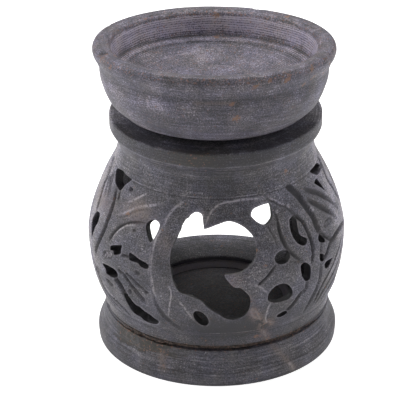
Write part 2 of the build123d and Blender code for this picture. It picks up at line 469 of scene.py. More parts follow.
class Graph:
    """Adds nodes to one node tree and wires them."""

    def __init__(self, tree: bpy.types.NodeTree) -> None:
        """Keeps the tree that the nodes go into."""
        self.tree = tree

    def feed(self, socket: Socket, value: object) -> None:
        """Links an output to a socket, or sets the socket's own value."""
        if isinstance(value, Socket):
            self.tree.links.new(value, socket)
        else:
            socket.default_value = value

    def add(self, kind: str, inputs: dict | None = None, **settings: object) -> bpy.types.Node:
        """Adds a node.

        Args:
            kind: Blender's name of the node type.
            inputs: Socket name or number to a value or to the output that feeds it.
            settings: Properties of the node.

        Returns:
            The new node.
        """
        node = self.tree.nodes.new(kind)
        for name, value in settings.items():
            setattr(node, name, value)
        for key, value in (inputs or {}).items():
            self.feed(node.inputs[key], value)
        return node

    def math(self, operation: str, *values: object, clamp: bool = False) -> Socket:
        """Result of a Math node on values or outputs."""
        node = self.add("ShaderNodeMath", dict(enumerate(values)), operation=operation, use_clamp=clamp)
        return node.outputs[0]

    def vector(self, operation: str, *values: object) -> Socket:
        """Vector result of a Vector Math node."""
        node = self.add("ShaderNodeVectorMath", dict(enumerate(values)), operation=operation)
        return node.outputs[0]

    def in_mm(self, place: Socket) -> Socket:
        """A place in metres as one in mm."""
        return self.vector("MULTIPLY", place, PER_MM)

    def round_axis(self, place: Socket) -> tuple[Socket, Socket, Socket]:
        """Level direction of a place from the Z axis, its distance from it and its height."""
        flat = self.vector("MULTIPLY", place, (1.0, 1.0, 0.0))
        radius = self.add("ShaderNodeVectorMath", {0: flat}, operation="LENGTH").outputs["Value"]
        return flat, radius, self.add("ShaderNodeSeparateXYZ", {0: place}).outputs["Z"]

    def ramp(self, value: Socket, low: float, high: float) -> Socket:
        """Value spread from 0 at low to 1 at high, with eased ends."""
        inputs = {"Value": value, "From Min": low, "From Max": high}
        return self.add("ShaderNodeMapRange", inputs, interpolation_type="SMOOTHSTEP").outputs["Result"]

    def noise(self, vector: Socket, scale: float, detail: float, rough: float) -> Socket:
        """Value of a 3-D noise."""
        inputs = {"Vector": vector, "Scale": scale, "Detail": detail, "Roughness": rough}
        return self.add("ShaderNodeTexNoise", inputs, noise_dimensions="3D").outputs[0]

    def swung(self, swing: Socket, strength: float, tone: object) -> Socket:
        """Tone with a value's swing about a half added to it."""
        return self.math("MULTIPLY_ADD", self.math("SUBTRACT", swing, 0.5), strength, tone)

    def mask(self, name: str) -> Socket:
        """Mask stored on the piece's vertices."""
        return self.add("ShaderNodeAttribute", attribute_name=name, attribute_type="GEOMETRY").outputs["Fac"]

    def group(self, tree: bpy.types.NodeTree, **inputs: object) -> dict[str, Socket]:
        """Places a shared group with its inputs and gives its outputs by name."""
        node = self.add("ShaderNodeGroup", inputs, node_tree=tree)
        return {output.name: output for output in node.outputs}

    def blend(self, share: object, first: object, second: object, kind: str = "MIX") -> Socket:
        """Colour between two.

        Args:
            share: How much of the second there is.
            first: The first colour or output.
            second: The second colour or output.
            kind: Blender's name of the blend.

        Returns:
            The blended colour.
        """
        node = self.add("ShaderNodeMix", data_type="RGBA", clamp_factor=True, blend_type=kind)
        for number, value in ((0, share), (6, first), (7, second)):
            self.feed(node.inputs[number], value)
        return node.outputs[2]


def new_group(
    name: str, inputs: dict[str, str], outputs: list[str]
) -> tuple[Graph, dict[str, Socket], bpy.types.Node]:
    """Empty shader group with named sockets.

    Args:
        name: Name of the group.
        inputs: Socket name to "vector" or "value".
        outputs: Names of the value outputs.

    Returns:
        Its graph, its inputs by name and its output node.
    """
    tree = bpy.data.node_groups.new(name, "ShaderNodeTree")
    kinds = {"vector": "NodeSocketVector", "value": "NodeSocketFloat"}
    for socket, kind in inputs.items():
        tree.interface.new_socket(name=socket, in_out="INPUT", socket_type=kinds[kind])
    for socket in outputs:
        tree.interface.new_socket(name=socket, in_out="OUTPUT", socket_type="NodeSocketFloat")
    graph = Graph(tree)
    entry = graph.add("NodeGroupInput")
    given = {socket: entry.outputs[socket] for socket in inputs}
    return graph, given, graph.add("NodeGroupOutput")


def turning_marks_group() -> bpy.types.NodeTree:
    """Marks that the turning tool left: rings, regular grooves, and dashes along the turning.

    The rings are noise that depends on radius and height alone, in a lane that a slow noise
    picks, so each runs some way round and gives place to the next. The grooves are the crests
    of a sine of radius plus height, whose strength a noise changes. The dashes are noise over
    the direction from the axis, radius and height, stretched along the turning direction.
    """
    inputs = {"Vector": "vector", "Pitch": "value", "Groove": "value"}
    graph, given, out = new_group("turning marks", inputs, ["Rings", "Grooves", "Dashes"])
    place = graph.in_mm(given["Vector"])
    flat, radius, height = graph.round_axis(place)
    across = graph.math("DIVIDE", radius, given["Pitch"])
    up = graph.math("DIVIDE", height, given["Pitch"])
    lane = graph.math("MULTIPLY", graph.noise(place, 0.06, 1.0, 0.5), 5.0)
    section = graph.add("ShaderNodeCombineXYZ", {0: across, 1: up, 2: lane}).outputs[0]
    rings = graph.noise(section, 1.0, 3.0, 0.65)
    press = graph.ramp(graph.noise(place, 0.16, 2.0, 0.5), 0.3, 0.75)
    swing = graph.math("MULTIPLY", graph.math("SUBTRACT", rings, 0.5), graph.math("ADD", press, 0.4))
    graph.feed(out.inputs["Rings"], graph.math("ADD", swing, 0.5))
    travel = graph.math("DIVIDE", graph.math("ADD", radius, height), given["Groove"])
    wobble = graph.math("MULTIPLY", graph.noise(place, 0.05, 1.0, 0.5), 3.0)
    wave = graph.math("SINE", graph.math("MULTIPLY", graph.math("ADD", travel, wobble), 2 * math.pi))
    grooves = graph.math("MULTIPLY", graph.ramp(wave, 0.1, 0.9), graph.ramp(rings, 0.3, 0.55))
    graph.feed(out.inputs["Grooves"], grooves)
    dash_height = 0.42
    direction = graph.vector("MULTIPLY", graph.vector("NORMALIZE", flat), (7.0, 7.0, 0.0))
    rise = graph.add("ShaderNodeCombineXYZ", {2: graph.math("DIVIDE", height, dash_height)}).outputs[0]
    inputs = {
        "Vector": graph.vector("ADD", direction, rise),
        "W": graph.math("DIVIDE", radius, dash_height),
        "Scale": 1.0, "Detail": 2.0, "Roughness": 0.6,
    }
    dashes = graph.add("ShaderNodeTexNoise", inputs, noise_dimensions="4D").outputs[0]
    graph.feed(out.inputs["Dashes"], dashes)
    return graph.tree


def scribed_ring_group() -> bpy.types.NodeTree:
    """Mask of one turned line: 1 near its radius and height, falling to 0 at its reaches, in mm."""
    inputs = {"Vector": "vector", "Radius": "value", "Height": "value", "Across": "value", "Up": "value"}
    graph, given, out = new_group("scribed ring", inputs, ["Line"])
    _, radius, height = graph.round_axis(graph.in_mm(given["Vector"]))
    parts = []
    for value, middle, reach in ((radius, "Radius", "Across"), (height, "Height", "Up")):
        away = graph.math("ABSOLUTE", graph.math("SUBTRACT", value, given[middle]))
        parts.append(graph.math("DIVIDE", away, given[reach]))
    line = graph.math("SUBTRACT", 1.0, graph.ramp(graph.math("MAXIMUM", *parts), 0.3, 1.0))
    graph.feed(out.inputs["Line"], line)
    return graph.tree


def mineral_grain_group() -> bpy.types.NodeTree:
    """Grain of the stone: fine salt and pepper, clouds, rust grains, pale flecks and hue patches."""
    outputs = ["Fine", "Cloud", "Rust", "Pale", "Hue"]
    graph, given, out = new_group("mineral grain", {"Vector": "vector"}, outputs)
    place = graph.in_mm(given["Vector"])
    fine = graph.noise(place, 2.6, 3.0, 0.72)
    cloud = graph.noise(place, 0.14, 4.0, 0.62)
    rust_spots = graph.noise(graph.vector("ADD", place, (31.0, 7.0, 13.0)), 0.85, 2.0, 0.55)
    zones = graph.noise(graph.vector("ADD", place, (5.0, 71.0, 3.0)), 0.09, 2.0, 0.5)
    rust = graph.ramp(graph.math("ADD", rust_spots, graph.math("MULTIPLY", zones, 0.5)), 1.0, 1.08)
    flecks = graph.noise(graph.vector("ADD", place, (3.0, 17.0, 59.0)), 2.0, 1.0, 0.5)
    dusty = graph.noise(graph.vector("ADD", place, (83.0, 11.0, 29.0)), 0.12, 2.0, 0.5)
    pale = graph.ramp(graph.math("ADD", flecks, graph.math("MULTIPLY", dusty, 0.45)), 0.88, 1.0)
    hue = graph.ramp(graph.noise(graph.vector("ADD", place, (9.0, 41.0, 97.0)), 0.12, 6.0, 0.75), 0.36, 0.64)
    for name, value in zip(outputs, (fine, cloud, rust, pale, hue)):
        graph.feed(out.inputs[name], value)
    return graph.tree


def file_scratches_group() -> bpy.types.NodeTree:
    """Short scratches of a file in two crossing directions, in patches.

    Noise is stretched along a direction that is turned up from level, once each way.
    """
    graph, given, out = new_group("file scratches", {"Vector": "vector"}, ["Scratches"])
    place = graph.in_mm(given["Vector"])
    directions = []
    for lean in (48.0, -35.0):
        inputs = {"Vector": place, "Rotation": (0.0, math.radians(lean), 0.0), "Scale": (0.22, 0.6, 2.8)}
        turned = graph.add("ShaderNodeMapping", inputs).outputs[0]
        directions.append(graph.ramp(graph.noise(turned, 1.0, 2.0, 0.6), 0.56, 0.72))
    patches = graph.ramp(graph.noise(place, 0.11, 2.0, 0.5), 0.42, 0.6)
    both = graph.math("MAXIMUM", *directions)
    graph.feed(out.inputs["Scratches"], graph.math("MULTIPLY", both, patches))
    return graph.tree


@dataclass
class Workshop:
    """The shader groups that the finishes share."""

    turning_marks: bpy.types.NodeTree = field(default_factory=turning_marks_group)
    scribed_ring: bpy.types.NodeTree = field(default_factory=scribed_ring_group)
    mineral_grain: bpy.types.NodeTree = field(default_factory=mineral_grain_group)
    file_scratches: bpy.types.NodeTree = field(default_factory=file_scratches_group)


def new_material(name: str) -> tuple[bpy.types.Material, Graph]:
    """Empty node material and the graph of its nodes."""
    material = bpy.data.materials.new(name)
    material.use_nodes = True
    material.node_tree.nodes.clear()
    return material, Graph(material.node_tree)


def set_stops(ramp: bpy.types.ColorRamp, stops: tuple) -> None:
    """Sets a ramp's colours: its first and last stop, and then those between them."""
    for element, (position, colour) in zip(list(ramp.elements), stops):
        element.position, element.color = position, colour
    for position, colour in stops[2:]:
        ramp.elements.new(position).color = colour


@dataclass(frozen=True)
class Scribe:
    """One turned line of a finish.

    Its place is a radius and a height in mm, each with a reach to both sides. Dust lightens it
    and shade darkens it.
    """

    height: float
    up: float
    radius: float = 0.0
    across: float = 1000.0
    dust: float = 0.0
    shade: float = 0.0


@dataclass(frozen=True)
class Soapstone:
    """Unpolished grey soapstone with turning marks, grain, rust grains and dusty edges."""

    name: str
    dark: Colour = (0.028, 0.0268, 0.0312, 1.0)
    stone: Colour = (0.0925, 0.0905, 0.1045, 1.0)
    pale: Colour = (0.203, 0.197, 0.222, 1.0)
    dust: Colour = (0.42, 0.4, 0.43, 1.0)
    rust: Colour = (0.25, 0.135, 0.075, 1.0)
    fleck: Colour = (0.27, 0.135, 0.09, 1.0)
    warm: Colour = (0.215, 0.17, 0.152, 1.0)
    stain: Colour = (0.052, 0.048, 0.036, 1.0)
    violet: Colour = (0.97, 0.965, 1.09, 1.0)
    ochre: Colour = (1.04, 1.0, 0.955, 1.0)
    ring_pitch: float = 0.9
    groove_pitch: float = 0.9
    ring_strength: float = 0.7
    groove_strength: float = 0.32
    dash_strength: float = 0.7
    grain_strength: float = 2.2
    cloud_strength: float = 0.95
    scratch_strength: float = 0.0
    rust_strength: float = 0.7
    bright_strength: float = 0.7
    fleck_strength: float = 0.3
    shade_strength: float = 0.75
    stone_stop: float = 0.42
    pale_stop: float = 0.78
    bump_height: float = 0.00014
    lightness: float = 0.0
    roughness: float = 0.64
    scribes: tuple[Scribe, ...] = ()
    axis_origin: tuple[float, float, float] = (0.0, 0.0, 0.0)
    axis_turn: tuple[float, float, float] = (0.0, 0.0, 0.0)

    def material(self, shop: Workshop) -> bpy.types.Material:
        """Builds the material.

        One tone is the sum of grain, clouds, turning marks, scratches, paleness and painted light, less
        painted shade and the darkening of stains.
        A ramp turns it into the stone's colours, and dust, tinges, stains and rust grains are
        laid over it.

        Args:
            shop: The shared shader groups.

        Returns:
            The new material.
        """
        material, graph = new_material(self.name)
        place = graph.add("ShaderNodeTexCoord").outputs["Object"]
        mapping = {"Vector": place, "Location": self.axis_origin, "Rotation": self.axis_turn}
        lathe = graph.add("ShaderNodeMapping", mapping, vector_type="TEXTURE").outputs[0]
        marks = graph.group(
            shop.turning_marks, Vector=lathe, Pitch=self.ring_pitch, Groove=self.groove_pitch
        )
        grain = graph.group(shop.mineral_grain, Vector=place)
        scratches = graph.group(shop.file_scratches, Vector=place)["Scratches"]
        in_mm = graph.in_mm(place)
        dots = graph.ramp(graph.noise(in_mm, 1.5, 2.0, 0.6), 0.32, 0.55)
        dust, shade = self._scribed(graph, shop, lathe, marks["Dashes"])
        # The mask of painted shade in carving, hollows and under the dish, and of stains, darkens the tone.
        shade = graph.math("MAXIMUM", shade, graph.mask("carve"))

        # Paleness of the stone and painted light lift the tone.
        bright = graph.math("MULTIPLY", graph.mask("bright"), self.bright_strength)
        tone = graph.math("ADD", self.stone_stop + self.lightness, bright)
        for swing, strength in (
            (grain["Fine"], self.grain_strength), (grain["Cloud"], self.cloud_strength),
            (marks["Rings"], self.ring_strength), (marks["Dashes"], self.dash_strength),
        ):
            tone = graph.swung(swing, strength, tone)
        grooves = graph.math("MULTIPLY", marks["Grooves"], graph.mask("turned"))
        for value, strength in (
            (scratches, self.scratch_strength), (grain["Pale"], self.fleck_strength),
            (grooves, -self.groove_strength), (shade, -self.shade_strength),
        ):
            tone = graph.math("MULTIPLY_ADD", value, strength, tone)
        ramp = graph.add("ShaderNodeValToRGB", {"Fac": tone})
        stops = (
            (0.0, self.dark), (1.0, self.dust), (self.stone_stop, self.stone), (self.pale_stop, self.pale),
        )
        set_stops(ramp.color_ramp, stops)

        fleck_noise = graph.noise(graph.vector("ADD", in_mm, (41.0, 19.0, 67.0)), 1.6, 2.0, 0.6)
        flecked = graph.mask("flecked")
        flecks = graph.ramp(graph.math("MULTIPLY_ADD", flecked, 0.45, fleck_noise), 0.8, 0.9)
        dusted = graph.math("MULTIPLY", graph.math("MAXIMUM", dust, graph.mask("dust")), dots)
        warm_grains = graph.math("ADD", graph.ramp(grain["Fine"], 0.35, 0.6), 0.2)
        warmed = graph.math("MULTIPLY", graph.mask("warm"), warm_grains, clamp=True)
        stained = graph.math("MULTIPLY", graph.mask("stain"), graph.ramp(grain["Fine"], 0.25, 0.6))
        speck = graph.blend(graph.ramp(flecked, 0.6, 0.85), self.fleck, self.rust)
        hue = graph.blend(grain["Hue"], self.ochre, self.violet)
        colour = graph.blend(dusted, ramp.outputs["Color"], self.dust)
        colour = graph.blend(warmed, colour, self.warm)
        colour = graph.blend(stained, colour, self.stain)
        colour = graph.blend(graph.math("MULTIPLY", flecks, self.rust_strength), colour, speck)
        colour = graph.blend(graph.math("MULTIPLY", grain["Rust"], self.rust_strength), colour, self.rust)
        colour = graph.blend(1.0, colour, hue, "MULTIPLY")

        relief = graph.math("MULTIPLY", grain["Fine"], 0.5)
        relief = graph.math("ADD", graph.math("MULTIPLY", marks["Rings"], 0.7), relief)
        relief = graph.math("MULTIPLY_ADD", scratches, -0.25, relief)
        bump = graph.add("ShaderNodeBump", {"Strength": 0.9, "Distance": self.bump_height, "Height": relief})
        inputs = {
            "Base Color": colour,
            "Roughness": graph.swung(grain["Fine"], 0.25, self.roughness),
            "Normal": bump.outputs[0],
            "Specular IOR Level": 0.5,
        }
        shader = graph.add("ShaderNodeBsdfPrincipled", inputs)
        graph.add("ShaderNodeOutputMaterial", {"Surface": shader.outputs[0]})
        return material

    def _scribed(self, graph: Graph, shop: Workshop, lathe: Socket, dashes: Socket) -> tuple:
        """Dust and shade of the scribed lines, whose dust is broken into dashes.

        Args:
            graph: Graph of the material.
            shop: The shared shader groups.
            lathe: Places as the lathe held the piece.
            dashes: Noise that breaks the lines.

        Returns:
            Outputs of the dust and of the shade, or 0 where no line has any.
        """
        dust, shade = 0.0, 0.0
        dashed = graph.ramp(dashes, 0.36, 0.6)
        for scribe in self.scribes:
            line = graph.group(
                shop.scribed_ring, Vector=lathe,
                Radius=scribe.radius, Height=scribe.height, Across=scribe.across, Up=scribe.up,
            )["Line"]
            if scribe.dust:
                dusted = graph.math("MULTIPLY", graph.math("MULTIPLY", line, dashed), scribe.dust)
                dust = graph.math("MAXIMUM", dust, dusted)
            if scribe.shade:
                shade = graph.math("MAXIMUM", shade, graph.math("MULTIPLY", line, scribe.shade))
        return dust, shade


@dataclass(frozen=True)
class Cement:
    """Rough brown cement in the joint, which turns to the stone's grey where it is rubbed flush, and on its
    inner face, where the grey is painted light in the gap's shade.
    """

    name: str = "joint_cement"
    dark: Colour = (0.026, 0.022, 0.021, 1.0)
    brown: Colour = (0.075, 0.054, 0.045, 1.0)
    pale: Colour = (0.3, 0.185, 0.145, 1.0)
    stone: Colour = (0.094, 0.0895, 0.1045, 1.0)

    def material(self, shop: Workshop) -> bpy.types.Material:
        """Builds the material from the shared grain.

        Args:
            shop: The shared shader groups.

        Returns:
            The new material.
        """
        material, graph = new_material(self.name)
        place = graph.add("ShaderNodeTexCoord").outputs["Object"]
        grain = graph.group(shop.mineral_grain, Vector=place)
        lumps = graph.noise(graph.in_mm(place), 1.4, 4.0, 0.8)
        tone = graph.math("MULTIPLY_ADD", grain["Fine"], 0.3, lumps)
        ramp = graph.add("ShaderNodeValToRGB", {"Fac": tone})
        set_stops(ramp.color_ramp, ((0.54, self.dark), (0.84, self.pale), (0.7, self.brown)))
        colour = graph.blend(graph.mask("flush"), ramp.outputs["Color"], self.stone)
        bump = graph.add("ShaderNodeBump", {"Strength": 1.0, "Distance": 0.0003, "Height": tone})
        inputs = {"Base Color": colour, "Roughness": 0.9, "Normal": bump.outputs[0]}
        shader = graph.add("ShaderNodeBsdfPrincipled", inputs)
        graph.add("ShaderNodeOutputMaterial", {"Surface": shader.outputs[0]})
        return material


# The pieces


@dataclass
class Foot:
    """Turned foot with the tea light's recess."""

    lip_radius: float = 35.2
    radius: float = 37.7
    height: float = 11.3
    recess_radius: float = 22.4
    recess_depth: float = 1.5
    recess_ledge: float = 1.1
    worn: float = 0.35
    columns: int = 420
    crowding: float = 0.3
    side_shares: tuple = (
        (0.9, 0.0), (1.0, 0.2), (0.94, 0.345), (0.6, 0.53), (0.3, 0.7), (0.1, 0.87), (0.0, 1.0),
    )
    vein: tuple = ((28.5, 10.6), (33.0, 6.6), (38.5, 1.2))
    patch: tuple = ((-28.5, 8.2), (-26.5, 4.4))
    chip: tuple = ((-56.5, 7.0), (-53.5, 7.7), (-51.5, 7.5))
    uneven: Roughness = Roughness(6.0, 3)
    chips: Roughness = Roughness(2.3, 9)
    nicks: Roughness = Roughness(1.1, 10)
    ragged: tuple = (Roughness(2.6, 51), Roughness(0.9, 52))
    mottle: Roughness = Roughness(1.2, 53)

    def outline(self) -> Array:
        """Outline from the axis underneath, up the side, into the recess and back to the axis."""
        points = [
            (between(self.lip_radius, self.radius, out), up * self.height) for out, up in self.side_shares
        ]
        side = curve_through(points)
        floor = self.height - self.recess_depth
        top = (self.lip_radius, self.height)
        rim = (self.recess_radius, self.height)
        pit = (self.recess_radius - self.recess_ledge, floor)
        under = straight((0.0, 0.0), (points[0][0] - self.worn, 0.0), 14)
        heel = rounded_corner((0.0, 0.0), points[0], points[1], self.worn, 3)
        wall = spaced(side[3:-3], 34)
        edge = rounded_corner(side[-4], top, rim, self.worn, 3)
        shelf = straight((top[0] - 1.0, self.height), (rim[0] + 1.4, self.height), 8)
        mouth = rounded_corner(top, rim, pit, self.worn, 3)
        well = rounded_corner(rim, pit, (0.0, floor), self.worn, 3)
        inside = straight((pit[0] - 0.8, floor), (0.0, floor), 36)
        return np.vstack([under, heel, wall, edge, shelf, mouth, well, inside])

    def build(self, stone: bpy.types.Material) -> bpy.types.Object:
        """Builds the foot and lays its masks.

        Args:
            stone: Its material.

        Returns:
            The piece.
        """
        turning = Turning(self.outline(), self.columns, closed=False, front_density=self.crowding)
        x, y, azimuth, radius, height = turning.grid()
        outside = (radius > self.recess_radius + 2) & (height > 0.4)
        front = 1.0 - eased(np.abs(signed(azimuth)), 45.0, 66.0)
        uneven = np.where(outside, 0.05 * self.uneven.at(x, y, height) - 0.05, 0.0)
        chips = np.clip(self.chips.at(x, y, height) - 0.45, 0.0, 1.0)
        nicks = 0.5 + 0.5 * self.nicks.at(x, y, height)
        near_edge = bump_at(height, self.height, 0.8) * (radius > self.lip_radius - 1.5)
        offset = uneven - near_edge * (chips + front * (0.18 + 0.4 * nicks))
        piece = turning.build("foot", offset)
        smooth_with_edges(piece)
        self.dress(piece)
        piece.data.materials.append(stone)
        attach(piece, Body.STAND.value)
        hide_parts("base")
        return piece

    def dress(self, piece: bpy.types.Object) -> None:
        """Lays painted shade in the recess, painted light on the recess wall's ring, the stain and chip at
        the upper left, and the pale vein.

        Args:
            piece: The foot.
        """
        x, y, z, radius, azimuth = turned_places(piece)
        away = np.abs(azimuth)
        side = radius > self.recess_radius + 3
        coarse, fine = (noise.at(x, y, z) for noise in self.ragged)
        ragged = coarse + 0.5 * fine
        mottle = 0.5 + 0.5 * self.mottle.at(x, y, z)
        above = z > 1.0
        recess = (radius < self.recess_radius - self.recess_ledge - 0.1) & above
        recess_wall = (radius < self.recess_radius + 3.2) & ~recess & above
        vein, patch, chip = (
            path_distance(azimuth, z, radius, np.array(path))[0]
            for path in (self.vein, self.patch, self.chip)
        )
        spread = eased(azimuth, -66.0, -54.0) * (1.0 - eased(azimuth, -30.0, -12.0))
        low_edge = 7.2 + 0.05 * (azimuth + 50.0) + 1.1 * ragged
        stain = spread * eased(z, low_edge - 0.3, low_edge + 0.2) * side
        ring = spread * bump_at(z, low_edge, 0.3) * side
        heel = fading(z, 0.7) * side
        joint = bump_at(z, self.height, 0.7) * side * (away < 62.0)
        vein_dust = 0.7 * fading(vein, 0.4) * (ragged > -0.1) + 0.3 * fading(vein, 1.1) * (ragged > 0.3)
        rust = 0.28 + 0.16 * stain + 0.2 * ring + 0.3 * joint + 0.2 * fading(patch, 1.5)
        paint(
            piece,
            # A little painted shade in the recess. Darker also in the chip, at the very bottom, round the
            # sides and back, and in the stain and along its edge.
            carve=0.06 * recess + 0.9 * fading(chip, 0.45) * side + 0.25 * heel
            + (0.12 + 0.4 * (mottle > 0.5)) * stain + 0.9 * ring * (mottle > 0.3)
            + 0.12 * eased(away, 42.0, 66.0) * side,
            # Painted light: the ring at the recess wall is lightened with dust, a warm tint and the mask
            # that lifts the tone.
            dust=vein_dust * side + 0.9 * recess_wall,
            warm=0.5 * (fading(vein, 1.0) + fading(patch, 1.3)) * side + 0.3 * recess_wall,
            stain=0.85 * stain * (0.5 + 0.5 * mottle) + 0.4 * ring + 0.36 * recess + 0.3 * joint,
            flecked=rust * side + 0.5 * recess,
            bright=1.0 * recess_wall,
            turned=0.5 * side,
        )


@dataclass
class CementBed:
    """Cement between foot and pot: lumpy where it shows, smeared over the edge at the left front."""

    inner: float = 23.6
    outer: float = 33.9
    bottom: float = 11.3
    top: float = 12.8
    columns: int = 420
    crowding: float = 0.3
    fine_lumps: Roughness = Roughness(0.9, 21)
    coarse_lumps: Roughness = Roughness(3.0, 22)

    def build(self, cement: bpy.types.Material) -> bpy.types.Object:
        """Builds the bed.

        Args:
            cement: Its material.

        Returns:
            The piece.
        """
        radii, levels = (self.inner, self.outer, self.outer, self.inner), (self.bottom, self.top)
        corners = list(zip(radii, np.repeat(levels, 2)))
        sides = [straight(*ends, 6)[:-1] for ends in zip(corners, corners[1:] + corners[:1])]
        turning = Turning(np.vstack(sides), self.columns, closed=True, front_density=self.crowding)
        x, y, azimuth, radius, height = turning.grid()
        shown = (radius > self.outer - 0.1) & (height > self.bottom + 0.1) & (height < self.top - 0.1)
        lumps = self.fine_lumps.at(x, y, height) + 0.6 * self.coarse_lumps.at(x, y, height)
        flush = eased(np.abs(signed(azimuth)), 46.0, 66.0)
        smeared = 1.0 - eased(signed(azimuth), -38.0, -4.0)
        set_back = between(0.5 * lumps + 0.35, 0.5 * lumps + 1.0, smeared)
        level = between(set_back, 0.03 * lumps + 1.15, flush)
        piece = turning.build("cement_bed", np.where(shown, level, 0.0))
        smooth_with_edges(piece, 60.0)
        # Painted light: the inner face, in the gap's shade, takes the stone's grey like the rubbed sides.
        paint(piece, flush=np.maximum(flush, radius < (self.inner + self.outer) / 2).ravel())
        piece.data.materials.append(cement)
        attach(piece, Body.STAND.value)
        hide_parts("joint_cement")
        return piece


@dataclass(frozen=True)
class CarvedLine:
    """One carved line: its (azimuth, height share) points, half width and depth in mm, and its look.

    Its ends fade over its taper, a share of its length.
    """

    shares: tuple
    half_width: float
    depth: float
    tone: Tone = Tone.DARK
    taper: float = 0.15


DARK, PALE, SOFT = Tone.DARK, Tone.PALE, Tone.SOFT

